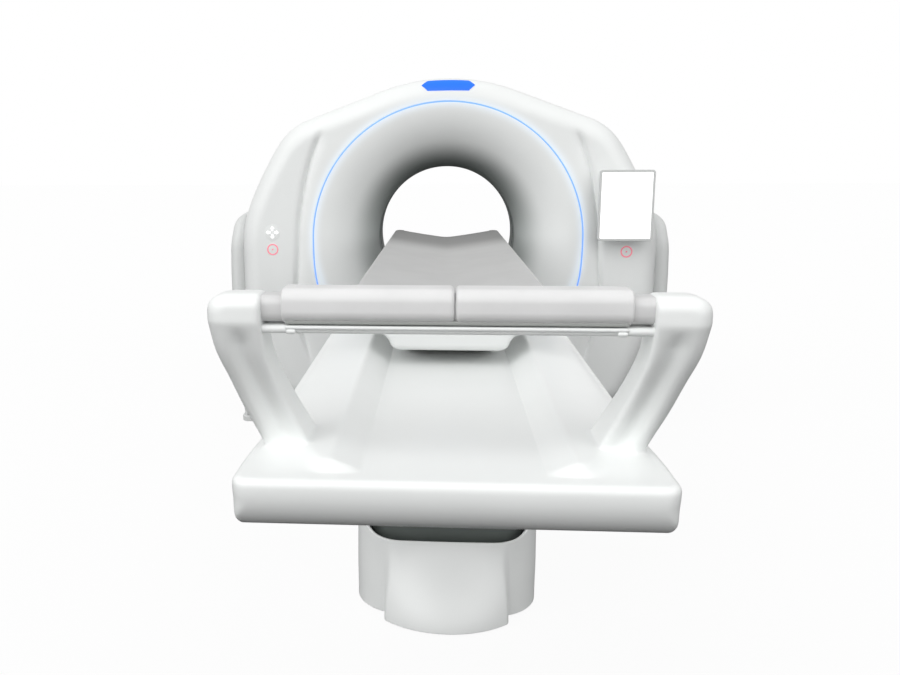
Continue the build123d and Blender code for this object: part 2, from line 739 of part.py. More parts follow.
with BuildPart() as drive_belt:
    with BuildSketch(across(BELT_REAR)):
        add(belt_loop(DRUM_RADIUS + BELT_GAP + BELT_THICK, PULLEY_RADIUS + BELT_GAP + BELT_THICK))
        add(belt_loop(DRUM_RADIUS + BELT_GAP, PULLEY_RADIUS + BELT_GAP), mode=Mode.SUBTRACT)
    extrude(amount=BELT_WIDTH)


def touch_key(key):
    """Round key, just proud of the cheek, with a soft edge."""
    centre_x, centre_z, radius = key
    with BuildPart() as cap:
        with BuildSketch(across(GANTRY_FRONT + KEY_BACK)):
            with Locations((centre_x, centre_z)):
                Circle(radius)
        extrude(amount=KEY_BACK + KEY_PROUD)
        fillet(cap.faces().sort_by(Axis.Y)[0].edges(), KEY_EDGE)
    return cap


move_key = touch_key(MOVE_KEY)
stop_key_left = touch_key(STOP_KEY_LEFT)
stop_key_right = touch_key(STOP_KEY_RIGHT)

# Tablet and its bracket
with BuildPart() as tablet_housing:
    with BuildSketch(across(TABLET_FRONT + TABLET_DEPTH)):
        with Locations((TABLET_X, TABLET_Z)):
            RectangleRounded(TABLET_WIDTH, TABLET_HEIGHT, TABLET_CORNER)
    extrude(amount=TABLET_DEPTH)
    chamfer(tablet_housing.faces().sort_by(Axis.Y)[-1].edges(), TABLET_CHAMFER)
    with BuildSketch(across(TABLET_FRONT + SCREEN_DEPTH)):
        with Locations((TABLET_X, TABLET_Z)):
            RectangleRounded(SCREEN_WIDTH, SCREEN_HEIGHT, SCREEN_CORNER)
    extrude(amount=SCREEN_SEAT, mode=Mode.SUBTRACT)
    with BuildSketch(Plane.YZ.offset(TABLET_X - KNUCKLE_HALF)):
        with Locations((TABLET_HINGE_Y, TABLET_Z)):
            Circle(HINGE_RADIUS)
        with Locations((TABLET_FRONT + TABLET_DEPTH + HINGE_RADIUS - OVERSHOOT, TABLET_Z)):
            Rectangle(2 * HINGE_RADIUS + 2 * OVERSHOOT, 2 * HINGE_RADIUS)
    extrude(amount=2 * KNUCKLE_HALF)
    with BuildSketch(Plane.YZ.offset(TABLET_X - PIN_HALF)):
        with Locations((TABLET_HINGE_Y, TABLET_Z)):
            Circle(PIN_RADIUS)
    extrude(amount=2 * PIN_HALF)

with BuildPart() as tablet_screen:
    with BuildSketch(across(TABLET_FRONT + SCREEN_DEPTH)):
        with Locations((TABLET_X, TABLET_Z)):
            RectangleRounded(
                SCREEN_WIDTH - 2 * SCREEN_GAP, SCREEN_HEIGHT - 2 * SCREEN_GAP, SCREEN_CORNER
            )
    extrude(amount=SCREEN_DEPTH)

with BuildPart() as tablet_bracket:
    with BuildSketch(across(GANTRY_FRONT)):
        with Locations((TABLET_X, TABLET_Z)):
            RectangleRounded(*BRACKET_SIZE, BRACKET_CORNER)
    extrude(amount=BRACKET_THICK)
    ear_root = GANTRY_FRONT - BRACKET_THICK / 2
    ear_gap = KNUCKLE_HALF + KNUCKLE_GAP
    for ear_x in (TABLET_X - ear_gap - BRACKET_EAR, TABLET_X + ear_gap):
        with BuildSketch(Plane.YZ.offset(ear_x)):
            with Locations((TABLET_HINGE_Y, TABLET_Z)):
                Circle(HINGE_RADIUS + BRACKET_EAR_WALL)
            with Locations(((TABLET_HINGE_Y + ear_root) / 2, TABLET_Z)):
                Rectangle(ear_root - TABLET_HINGE_Y, 2 * (HINGE_RADIUS + BRACKET_EAR_WALL))
            with Locations((TABLET_HINGE_Y, TABLET_Z)):
                Circle(PIN_RADIUS + PIN_GAP, mode=Mode.SUBTRACT)
        extrude(amount=BRACKET_EAR)

# Stand cover: slim pillar, rounded in front view and in side view, hollowed for post and motor
with BuildPart() as stand_shape:
    with BuildSketch(across(TILT_Y + STAND_FOOT_HALF + OVERSHOOT)):
        with BuildLine():
            outer_foot = Line((STAND_FOOT_X, PLINTH_HEIGHT), STAND_CALF)
            belly = TangentArc(outer_foot @ 1, STAND_BELLY, tangent=outer_foot % 1)
            brow = TangentArc(belly @ 1, STAND_BROW, tangent=belly % 1)
            Polyline(brow @ 1, (STAND_INNER, STAND_TOP), (STAND_INNER, PLINTH_HEIGHT), outer_foot @ 0)
        make_face()
    extrude(amount=2 * (STAND_FOOT_HALF + OVERSHOOT))
with BuildPart() as stand_side:
    with BuildSketch(Plane.YZ.offset(STAND_INNER)):
        with BuildLine():
            legs = Polyline(
                (TILT_Y - STAND_NECK_HALF, STAND_NECK_Z),
                (TILT_Y - STAND_FOOT_HALF, PLINTH_HEIGHT),
                (TILT_Y + STAND_FOOT_HALF, PLINTH_HEIGHT),
                (TILT_Y + STAND_NECK_HALF, STAND_NECK_Z),
            )
            ThreePointArc(legs @ 1, (TILT_Y, STAND_TOP), legs @ 0)
        make_face()
    extrude(amount=2 * (STAND_BELLY[0] - STAND_INNER))
with BuildPart() as stand_cover_right:
    add(stand_shape.part)
    add(stand_side.part, mode=Mode.INTERSECT)
    with BuildSketch(Plane.YZ.offset(STAND_INNER)):
        with Locations((TILT_Y, (PLINTH_HEIGHT + POST_TOP + POST_CORNER) / 2)):
            RectangleRounded(
                2 * (POST_HALF + POST_CLEARANCE), POST_TOP + POST_CORNER - PLINTH_HEIGHT, PLINTH_CORNER
            )
    extrude(amount=POST_SETBACK + POST_THICK + STAND_CLEARANCE, mode=Mode.SUBTRACT)
    housing_end = POST_SETBACK + POST_THICK + HOUSING_DEPTH
    for radius, depth in (
        (HOUSING_RADIUS + STAND_CLEARANCE, housing_end + STAND_CLEARANCE),
        (GEARMOTOR_RADIUS + STAND_CLEARANCE, housing_end + GEARMOTOR_DEPTH + STAND_CLEARANCE),
    ):
        with BuildSketch(Plane.YZ.offset(STAND_INNER)):
            with Locations((TILT_Y, AXIS_Z)):
                Circle(radius)
        extrude(amount=depth, mode=Mode.SUBTRACT)
stand_cover_left = mirrored(stand_cover_right)


# Steel post inside each stand, with the bearing that the trunnion turns in
with BuildPart() as stand_frame_right:
    with BuildSketch(Plane.YZ.offset(STAND_INNER + POST_SETBACK)):
        with Locations((TILT_Y, (PLINTH_HEIGHT + POST_TOP) / 2)):
            RectangleRounded(2 * POST_HALF, POST_TOP - PLINTH_HEIGHT, POST_CORNER)
    extrude(amount=POST_THICK)
    with BuildSketch(Plane.YZ.offset(STAND_INNER + POST_SETBACK + POST_THICK)):
        with Locations((TILT_Y, AXIS_Z)):
            Circle(HOUSING_RADIUS)
    extrude(amount=HOUSING_DEPTH)
    with BuildSketch(Plane.YZ.offset(STAND_INNER)):
        with Locations((TILT_Y, AXIS_Z)):
            Circle(TRUNNION_RADIUS + TRUNNION_GAP)
    extrude(amount=housing_end + OVERSHOOT, mode=Mode.SUBTRACT)
stand_frame_left = mirrored(stand_frame_right)

# Gearmotor that tilts the gantry, on the outer face of the right-hand bearing
with BuildPart() as tilt_gearmotor:
    with BuildSketch(Plane.YZ.offset(STAND_INNER + housing_end)):
        with Locations((TILT_Y, AXIS_Z)):
            Circle(GEARMOTOR_RADIUS)
    extrude(amount=GEARMOTOR_DEPTH)
    with BuildSketch(Plane.YZ.offset(STAND_INNER + housing_end)):
        with Locations((TILT_Y, AXIS_Z)):
            Circle(TRUNNION_RADIUS + STAND_CLEARANCE)
    extrude(amount=GEARMOTOR_RECESS, mode=Mode.SUBTRACT)
    chamfer(tilt_gearmotor.faces().sort_by(Axis.X)[-1].edges(), GEARMOTOR_CHAMFER)

# Plinth under the gantry, and the low duct that leads the cables to the table
with BuildPart() as gantry_base:
    with BuildSketch(Plane.XY):
        with Locations((0, TILT_Y)):
            RectangleRounded(2 * STAND_FOOT_X, 2 * STAND_FOOT_HALF, PLINTH_CORNER)
    extrude(amount=PLINTH_HEIGHT)
    chamfer(gantry_base.faces().sort_by(Axis.Z)[-1].edges(), PLINTH_CHAMFER)

with BuildPart() as floor_duct:
    duct_end = TILT_Y - STAND_FOOT_HALF
    with BuildSketch(Plane.XY):
        with Locations((0, (PEDESTAL_REAR + duct_end) / 2)):
            Rectangle(2 * DUCT_HALF, duct_end - PEDESTAL_REAR)
    extrude(amount=DUCT_HEIGHT)
    chamfer(floor_duct.faces().sort_by(Axis.Z)[-1].edges().filter_by(Axis.Y), DUCT_CHAMFER)


def pedestal_plan(inset):
    """Plan of the pedestal: rounded rectangle with a bowed nose at the foot end."""
    length = PEDESTAL_REAR - PEDESTAL_FRONT - 2 * inset
    with BuildSketch() as plan:
        with Locations((0, (PEDESTAL_REAR + PEDESTAL_FRONT) / 2)):
            RectangleRounded(2 * (PEDESTAL_HALF - inset), length, PEDESTAL_CORNER - inset)
        with BuildSketch(mode=Mode.PRIVATE) as nose:
            with Locations((0, NOSE_FRONT + NOSE_RADIUS)):
                Circle(NOSE_RADIUS - inset)
            with Locations((0, NOSE_FRONT + NOSE_LENGTH / 2)):
                Rectangle(2 * (NOSE_HALF - inset), NOSE_LENGTH, mode=Mode.INTERSECT)
        add(nose.sketch)
    return plan.sketch


# Pedestal cover with the scooped front that shows the column
with BuildPart() as pedestal_cover:
    with BuildSketch(Plane.XY.offset(PEDESTAL_BOTTOM)):
        add(pedestal_plan(0))
    extrude(amount=PEDESTAL_TOP - PEDESTAL_BOTTOM)
    with BuildSketch(Plane.XY.offset(PEDESTAL_BOTTOM)):
        add(pedestal_plan(PEDESTAL_WALL))
    extrude(amount=PEDESTAL_TOP, mode=Mode.SUBTRACT)
    with BuildSketch(across(PEDESTAL_FRONT + SCOOP_REACH)):
        with BuildLine():
            scoop = FilletPolyline(
                (-SCOOP_HALF - SCOOP_LEAN, PEDESTAL_TOP + OVERSHOOT),
                (-SCOOP_HALF, SCOOP_BOTTOM),
                (SCOOP_HALF, SCOOP_BOTTOM),
                (SCOOP_HALF + SCOOP_LEAN, PEDESTAL_TOP + OVERSHOOT),
                radius=SCOOP_ROUND,
            )
            Line(scoop @ 1, scoop @ 0)
        make_face()
    extrude(amount=SCOOP_REACH + PEDESTAL_FRONT - NOSE_FRONT + OVERSHOOT, mode=Mode.SUBTRACT)

with BuildPart() as pedestal_base:
    base_length = PEDESTAL_REAR - PEDESTAL_FRONT - 2 * BASE_INSET
    with BuildSketch(Plane.XY.offset(BASE_BOTTOM)):
        with Locations((0, (PEDESTAL_REAR + PEDESTAL_FRONT) / 2)):
            RectangleRounded(2 * (PEDESTAL_HALF - BASE_INSET), base_length, PEDESTAL_CORNER - BASE_INSET)
    extrude(amount=BASE_TOP - BASE_BOTTOM)
    with BuildSketch(Plane.XY):
        with Locations((0, (PEDESTAL_REAR + PEDESTAL_FRONT) / 2)):
            with GridLocations(*FOOT_PAD_SPACING, 2, 2):
                Circle(FOOT_PAD_RADIUS)
    extrude(amount=BASE_BOTTOM)


def column_shell(half_width, front, rear, bottom, top):
    """Open telescopic stage with rounded corners."""
    inner_half = half_width - COLUMN_WALL
    inner_length = rear - front - 2 * COLUMN_WALL
    inner_corner = COLUMN_CORNER - COLUMN_WALL
    with BuildPart() as stage:
        with BuildSketch(Plane.XY.offset(bottom)):
            with Locations((0, (front + rear) / 2)):
                RectangleRounded(2 * half_width, rear - front, COLUMN_CORNER)
                RectangleRounded(2 * inner_half, inner_length, inner_corner, mode=Mode.SUBTRACT)
        extrude(amount=top - bottom)
    return stage


column_middle = column_shell(*MIDDLE_STAGE)

# Lift: screw and nut inside the column, motor beside it
with BuildPart() as lift_screw:
    with BuildSketch(Plane.XY.offset(SCREW_BOTTOM)):
        with Locations((0, SCREW_Y)):
            Circle(SCREW_RADIUS)
    extrude(amount=SCREW_LENGTH)
with BuildPart() as lift_motor:
    with BuildSketch(Plane.XY.offset(BASE_TOP)):
        with Locations((0, SCREW_Y + LIFT_MOTOR_OFFSET)):
            RectangleRounded(LIFT_MOTOR_SIDE, LIFT_MOTOR_SIDE, LIFT_MOTOR_CORNER)
    extrude(amount=LIFT_MOTOR_HEIGHT)
    with BuildSketch(Plane.XY.offset(BASE_TOP)):
        with Locations((0, SCREW_Y + GEARBOX_OFFSET)):
            RectangleRounded(*GEARBOX_SIZE, GEARBOX_CORNER)
    extrude(amount=GEARBOX_HEIGHT)
    with BuildSketch(Plane.XY.offset(BASE_TOP)):
        with Locations((0, SCREW_Y)):
            Circle(SCREW_RADIUS + SCREW_GAP)
    extrude(amount=GEARBOX_HEIGHT, mode=Mode.SUBTRACT)

# Welded table frame with the upper stage of the column and the lift nut
with BuildPart() as table_frame:
    column_half, column_front, column_rear = INNER_STAGE[:3]
    column_middle_y = (column_front + column_rear) / 2
    beam_bottom = TABLE_BOTTOM + 2 * HEAD_PLATE
    add(column_shell(*INNER_STAGE).part)
    with BuildSketch(Plane.XY.offset(TABLE_BOTTOM + HEAD_PLATE)):
        with Locations((0, SCREW_Y)):
            Rectangle(2 * column_half, column_rear - column_front)
    extrude(amount=HEAD_PLATE)
    for beam_x in (-BEAM_X, BEAM_X):
        with BuildSketch(Plane.XY.offset(beam_bottom)):
            with Locations((beam_x, (FRAME_START + FRAME_END) / 2)):
                Rectangle(BEAM_WIDTH, FRAME_END - FRAME_START)
        extrude(amount=FRAME_TOP - beam_bottom)
    for beam_y in CROSS_PLACES:
        with BuildSketch(Plane.XY.offset(beam_bottom)):
            with Locations((0, beam_y)):
                Rectangle(CROSS_LENGTH, BEAM_WIDTH)
        extrude(amount=FRAME_TOP - beam_bottom)
    with BuildSketch(Plane.XY.offset(NUT_BOTTOM)):
        with Locations((0, SCREW_Y)):
            Circle(NUT_RADIUS)
            Circle(SCREW_RADIUS + SCREW_GAP, mode=Mode.SUBTRACT)
    extrude(amount=NUT_HEIGHT)
    nut_arm_x = (NUT_ARM_INNER + NUT_ARM_OUTER) / 2
    with BuildSketch(Plane.XY.offset(NUT_BOTTOM + (NUT_HEIGHT - NUT_ARM_HEIGHT) / 2)):
        with Locations((-nut_arm_x, SCREW_Y), (nut_arm_x, SCREW_Y)):
            Rectangle(NUT_ARM_OUTER - NUT_ARM_INNER, NUT_ARM_WIDTH)
        with Locations((0, SCREW_Y)):
            Circle(NUT_RADIUS - OVERSHOOT, mode=Mode.SUBTRACT)
    extrude(amount=NUT_ARM_HEIGHT)

# Skirt: tapered pan under the table, open on top, with a hole for the column
with BuildPart() as table_skirt:
    skirt_middle = (SKIRT_FRONT + SKIRT_REAR) / 2
    skirt_length = SKIRT_REAR - SKIRT_FRONT
    with BuildSketch(Plane.XY.offset(FRAME_TOP)):
        with Locations((0, skirt_middle)):
            RectangleRounded(2 * SKIRT_HALF, skirt_length, SKIRT_CORNER)
    extrude(amount=-(FRAME_TOP - TABLE_BOTTOM), taper=SKIRT_TAPER)
    with BuildSketch(Plane.XY.offset(FRAME_TOP)):
        with Locations((0, skirt_middle)):
            RectangleRounded(
                2 * (SKIRT_HALF - SKIRT_WALL), skirt_length - 2 * SKIRT_WALL, SKIRT_CORNER - SKIRT_WALL
            )
    extrude(amount=-(FRAME_TOP - TABLE_BOTTOM - SKIRT_WALL), taper=SKIRT_TAPER, mode=Mode.SUBTRACT)
    with BuildSketch(Plane.XY.offset(TABLE_BOTTOM - OVERSHOOT)):
        with Locations((0, column_middle_y)):
            RectangleRounded(
                2 * (column_half + OVERSHOOT),
                column_rear - column_front + 2 * OVERSHOOT,
                COLUMN_CORNER + OVERSHOOT,
            )
    extrude(amount=HEAD_PLATE, mode=Mode.SUBTRACT)


def ridge_height(y):
    """Height of the ridge above the deck: it rises from the foot end to its full height."""
    share = (y - RIDGE_FRONT_Y) / (RIDGE_FULL_Y - RIDGE_FRONT_Y)
    return RIDGE_FRONT_HEIGHT + min(share, 1.0) * (RIDGE_HEIGHT - RIDGE_FRONT_HEIGHT)


def ridge(front, rear):
    """Right-hand side rail between two Y planes: bowed outside, steep towards the channel."""
    with BuildPart() as rail:
        for y in (front, rear):
            height = ridge_height(y)
            with BuildSketch(across(y)):
                with BuildLine():
                    bow = ThreePointArc(
                        (RIDGE_FOOT_X, DECK_Z),
                        ((RIDGE_FOOT_X + RIDGE_X) / 2 + BOW_SHIFT, DECK_Z + BOW_SHARE * height),
                        (RIDGE_X, DECK_Z + height),
                    )
                    Polyline(
                        bow @ 1, (CHANNEL_HALF, DECK_Z), (CHANNEL_HALF, DECK_Z - RIDGE_SINK),
                        (RIDGE_FOOT_X, DECK_Z - RIDGE_SINK), bow @ 0,
                    )
                make_face()
        loft(ruled=True)
    return rail


# Arm and elbow on the right
with BuildPart() as arm:
    for height, centre_x, centre_y, width, depth in ARM_SECTIONS:
        with BuildSketch(Plane.XY.offset(height)):
            with Locations((centre_x, centre_y)):
                RectangleRounded(width, depth, ARM_CORNER_SHARE * width)
    loft()
with BuildPart() as elbow:
    with BuildSketch(Plane.YZ.offset(ELBOW_INNER)):
        with Locations((BAR_Y, (ELBOW_TOP + ELBOW_BOTTOM) / 2)):
            RectangleRounded(ELBOW_DEPTH, ELBOW_TOP - ELBOW_BOTTOM, ELBOW_CORNER)
    extrude(amount=ELBOW_OUTER - ELBOW_INNER)
    fillet(elbow.faces().sort_by(Axis.X)[-1].edges(), ELBOW_END_ROUND)

# Foot end: thick plate, the first stretch of both rails, and the two arms in one moulding
foot_rail = ridge(RIDGE_FRONT_Y, FOOT_REAR)
with BuildPart() as foot_end:
    with BuildSketch(Plane.XY.offset(FRAME_TOP)):
        with Locations((0, (FOOT_FRONT + FOOT_REAR) / 2)):
            Rectangle(2 * DECK_HALF, FOOT_REAR - FOOT_FRONT)
    extrude(amount=FOOT_THICK)
    fillet(foot_end.edges().filter_by(Axis.Z).group_by(Axis.Y)[0], FOOT_CORNER)
    fillet(foot_end.faces().sort_by(Axis.Z)[-1].edges().sort_by(Axis.Y)[:-1], FOOT_TOP_EDGE)
    fillet(foot_end.faces().sort_by(Axis.Z)[0].edges().sort_by(Axis.Y)[:-1], FOOT_BOTTOM_EDGE)
    for piece in (foot_rail, arm, elbow):
        add(piece.part)
        mirror(piece.part, about=Plane.YZ)

# Deck: open-bottomed moulding with ribs on the frame and the two rails
deck_rail_front = ridge(FOOT_REAR, RIDGE_FULL_Y)
deck_rail_rear = ridge(RIDGE_FULL_Y, RIDGE_REAR_Y)
with BuildPart() as deck_cover:
    with BuildSketch(Plane.XY.offset(FRAME_TOP)):
        with Locations((0, (FOOT_REAR + DECK_REAR) / 2)):
            Rectangle(2 * DECK_HALF, DECK_REAR - FOOT_REAR)
    extrude(amount=DECK_Z - FRAME_TOP)
    fillet(deck_cover.edges().filter_by(Axis.Z).group_by(Axis.Y)[-1], FOOT_CORNER)
    fillet(deck_cover.faces().sort_by(Axis.Z)[-1].edges().sort_by(Axis.Y)[1:], DECK_EDGE)
    with BuildSketch(Plane.XY.offset(FRAME_TOP)):
        with Locations((0, (FOOT_REAR + DECK_REAR - DECK_WALL) / 2)):
            Rectangle(2 * (DECK_HALF - DECK_WALL), DECK_REAR - DECK_WALL - FOOT_REAR)
    extrude(amount=DECK_Z - FRAME_TOP - DECK_WALL, mode=Mode.SUBTRACT)
    with BuildSketch(Plane.XY.offset(FRAME_TOP)):
        with Locations((-RIB_X, RIB_MIDDLE), (RIB_X, RIB_MIDDLE)):
            Rectangle(RIB_THICK, RIB_LENGTH)
    extrude(amount=DECK_Z - FRAME_TOP - DECK_WALL)
    for piece in (deck_rail_front, deck_rail_rear):
        add(piece.part)
        mirror(piece.part, about=Plane.YZ)

# Handle bar between the elbows, its rail and the two grips
with BuildPart() as handle_bar:
    with BuildSketch(Plane.YZ.offset(-ELBOW_INNER)):
        with Locations((BAR_Y, BAR_Z)):
            RectangleRounded(2 * BAR_HALF_DEPTH, 2 * BAR_HALF_HEIGHT, BAR_CORNER)
    extrude(amount=2 * ELBOW_INNER)

with BuildPart() as bar_rail:
    with BuildSketch(Plane.YZ.offset(-ELBOW_INNER)):
        with Locations((BAR_Y, (RAIL_BOTTOM + GRIP_BOTTOM) / 2)):
            Rectangle(2 * BAR_HALF_DEPTH, GRIP_BOTTOM - RAIL_BOTTOM)
    extrude(amount=2 * ELBOW_INNER)
    chamfer(bar_rail.faces().sort_by(Axis.Z)[0].edges().filter_by(Axis.X), RAIL_CHAMFER)
    with BuildSketch(Plane.YZ.offset(-FLANGE_END)):
        with Locations((BAR_Y, GRIP_BOTTOM - FLANGE_HEIGHT / 2)):
            RectangleRounded(2 * FLANGE_HALF_DEPTH, FLANGE_HEIGHT, FLANGE_CORNER)
    extrude(amount=2 * FLANGE_END)
    add(handle_bar.part, mode=Mode.SUBTRACT)

with BuildPart() as grip_right:
    with BuildSketch(Plane.YZ.offset(GRIP_INNER)):
        with Locations((BAR_Y, (GRIP_TOP + GRIP_BOTTOM) / 2)):
            RectangleRounded(2 * GRIP_HALF_DEPTH, GRIP_TOP - GRIP_BOTTOM, GRIP_CORNER)
    extrude(amount=GRIP_OUTER - GRIP_INNER)
    grip_ends = grip_right.faces().group_by(Axis.X)
    fillet(grip_ends[0].edges() + grip_ends[-1].edges(), GRIP_END_ROUND)
    add(handle_bar.part, mode=Mode.SUBTRACT)
grip_left = mirrored(grip_right)

# Support at the gantry end of the deck, with two rollers under the cradle
roller_z = CRADLE_FLAT_Z - ROLLER_RADIUS - ROLLER_GAP
with BuildPart() as front_support:
    with BuildSketch(Plane.XY.offset(DECK_Z)):
        with Locations((0, sum(ROLLER_PLACES) / 2)):
            Rectangle(2 * SUPPORT_HALF, SUPPORT_REAR - SUPPORT_FRONT - 2 * OVERSHOOT)
    extrude(amount=SUPPORT_FLOOR)
    for cheek_x in (-SUPPORT_HALF, SUPPORT_HALF - SUPPORT_CHEEK):
        with BuildSketch(Plane.YZ.offset(cheek_x)):
            with BuildLine():
                Polyline(
                    (SUPPORT_FRONT, DECK_Z),
                    (SUPPORT_FRONT, SUPPORT_TOP - SUPPORT_CUT[1]),
                    (SUPPORT_FRONT + SUPPORT_CUT[0], SUPPORT_TOP),
                    (SUPPORT_REAR - SUPPORT_CUT[0], SUPPORT_TOP),
                    (SUPPORT_REAR, SUPPORT_TOP - SUPPORT_CUT[1]),
                    (SUPPORT_REAR, DECK_Z),
                    close=True,
                )
            make_face()
            for roller_y in ROLLER_PLACES:
                with Locations((roller_y, roller_z)):
                    Circle(AXLE_RADIUS + AXLE_GAP, mode=Mode.SUBTRACT)
        extrude(amount=SUPPORT_CHEEK)


def support_roller(roller_y):
    """Roller with a stub axle at each end."""
    with BuildPart() as roller:
        for radius, half in ((ROLLER_RADIUS, ROLLER_HALF), (AXLE_RADIUS, ROLLER_HALF + AXLE_REACH)):
            with BuildSketch(Plane.YZ.offset(-half)):
                with Locations((roller_y, roller_z)):
                    Circle(radius)
            extrude(amount=2 * half)
    return roller


roller_front = support_roller(ROLLER_PLACES[0])
roller_rear = support_roller(ROLLER_PLACES[1])

# Cradle: shallow V on top, hollowed towards the rims below
with BuildPart() as cradle:
    with BuildSketch(across(CRADLE_TIP)):
        with BuildLine():
            under = FilletPolyline(
                (-CRADLE_HALF, CRADLE_EDGE_Z - CRADLE_RIM),
                (-CRADLE_FLAT_HALF, CRADLE_FLAT_Z),
                (CRADLE_FLAT_HALF, CRADLE_FLAT_Z),
                (CRADLE_HALF, CRADLE_EDGE_Z - CRADLE_RIM),
                radius=CRADLE_UNDER_ROUND,
            )
            Polyline(
                under @ 1, (CRADLE_HALF, CRADLE_EDGE_Z), (0, CRADLE_NOTCH_Z),
                (-CRADLE_HALF, CRADLE_EDGE_Z), under @ 0,
            )
        make_face()
    extrude(amount=CRADLE_TIP - CRADLE_FOOT)
    fillet(cradle.edges().filter_by(Axis.Z), CRADLE_CORNER)

# Trolley: keel in the channel, flared to the width of the cradle, undercut at the foot end
with BuildPart() as cradle_trolley:
    with BuildSketch(across(TROLLEY_REAR_Y)):
        with BuildLine():
            Polyline(
                (0, TROLLEY_BOTTOM), TROLLEY_KEEL, TROLLEY_FLARE, TROLLEY_WAIST,
                TROLLEY_SHOULDER, TROLLEY_SEAT, (0, TROLLEY_SEAT[1]),
            )
            mirror(about=Plane.YZ)
        make_face()
    extrude(amount=TROLLEY_REAR_Y - TROLLEY_FRONT_Y)
    fillet(cradle_trolley.edges().filter_by(Axis.Y).group_by(Axis.Z)[0], TROLLEY_EDGE)
    with BuildSketch(Plane.YZ.offset(-CRADLE_HALF)):
        Polygon(
            (TROLLEY_FRONT_Y - OVERSHOOT, TROLLEY_BOTTOM - OVERSHOOT),
            (TROLLEY_BOTTOM_Y, TROLLEY_BOTTOM - OVERSHOOT),
            (TROLLEY_BOTTOM_Y, TROLLEY_BOTTOM),
            (TROLLEY_FRONT_Y, TROLLEY_LIP_Z),
            (TROLLEY_FRONT_Y - OVERSHOOT, TROLLEY_LIP_Z),
            align=None,
        )
    extrude(amount=2 * CRADLE_HALF, mode=Mode.SUBTRACT)
    add(cradle.part, mode=Mode.SUBTRACT)
    with BuildSketch(Plane.XY.offset(DECK_Z + GLIDE_GAP)):
        with Locations((-GLIDE_X, GLIDE_MIDDLE), (GLIDE_X, GLIDE_MIDDLE)):
            Rectangle(*GLIDE_SIZE)
    extrude(amount=TROLLEY_BOTTOM - DECK_Z - GLIDE_GAP)

PIECES = {
    "front_cover": front_cover, "status_light": status_light, "light_ring": light_ring,
    "front_funnel": front_funnel, "front_liner": front_liner, "scan_window": scan_window,
    "rear_liner": rear_liner, "rear_funnel": rear_funnel, "side_cover_right": side_cover_right,
    "side_cover_left": side_cover_left, "rear_cover": rear_cover, "gantry_frame": gantry_frame,
    "rear_grille_right": rear_grille_right, "rear_grille_left": rear_grille_left,
    "outer_race": outer_race, "inner_race": inner_race, "slip_ring": slip_ring,
    "brush_block": brush_block, "rotor_drum": rotor_drum, "xray_tube": xray_tube,
    "detector_arc": detector_arc, "high_voltage_tank": high_voltage_tank,
    "heat_exchanger": heat_exchanger, "power_unit": power_unit, "data_box": data_box,
    "drive_motor": drive_motor, "drive_pulley": drive_pulley, "drive_belt": drive_belt,
    "move_key": move_key, "stop_key_left": stop_key_left, "stop_key_right": stop_key_right,
    "tablet_housing": tablet_housing, "tablet_screen": tablet_screen,
    "tablet_bracket": tablet_bracket, "stand_cover_right": stand_cover_right,
    "stand_cover_left": stand_cover_left, "stand_frame_right": stand_frame_right,
    "stand_frame_left": stand_frame_left, "tilt_gearmotor": tilt_gearmotor,
    "gantry_base": gantry_base, "floor_duct": floor_duct, "pedestal_cover": pedestal_cover,
    "pedestal_base": pedestal_base, "column_middle": column_middle, "lift_screw": lift_screw,
    "lift_motor": lift_motor, "table_frame": table_frame, "table_skirt": table_skirt,
    "foot_end": foot_end, "deck_cover": deck_cover, "handle_bar": handle_bar,
    "bar_rail": bar_rail, "grip_right": grip_right, "grip_left": grip_left,
    "front_support": front_support, "roller_front": roller_front, "roller_rear": roller_rear,
    "cradle": cradle, "cradle_trolley": cradle_trolley,
}
for label, builder in PIECES.items():
    builder.part.label = label
    export_step(builder.part, f"parts/{label}.step")
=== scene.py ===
"""Looks of a computed tomography scanner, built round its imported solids.

Lengths are in millimetres unless a name says otherwise; meshes are written in metres.
X runs across, Y from the foot end of the table to the gantry, Z up from the floor.
"""

from __future__ import annotations

import logging
import math
from dataclasses import dataclass
from enum import Enum
from typing import Callable, Sequence

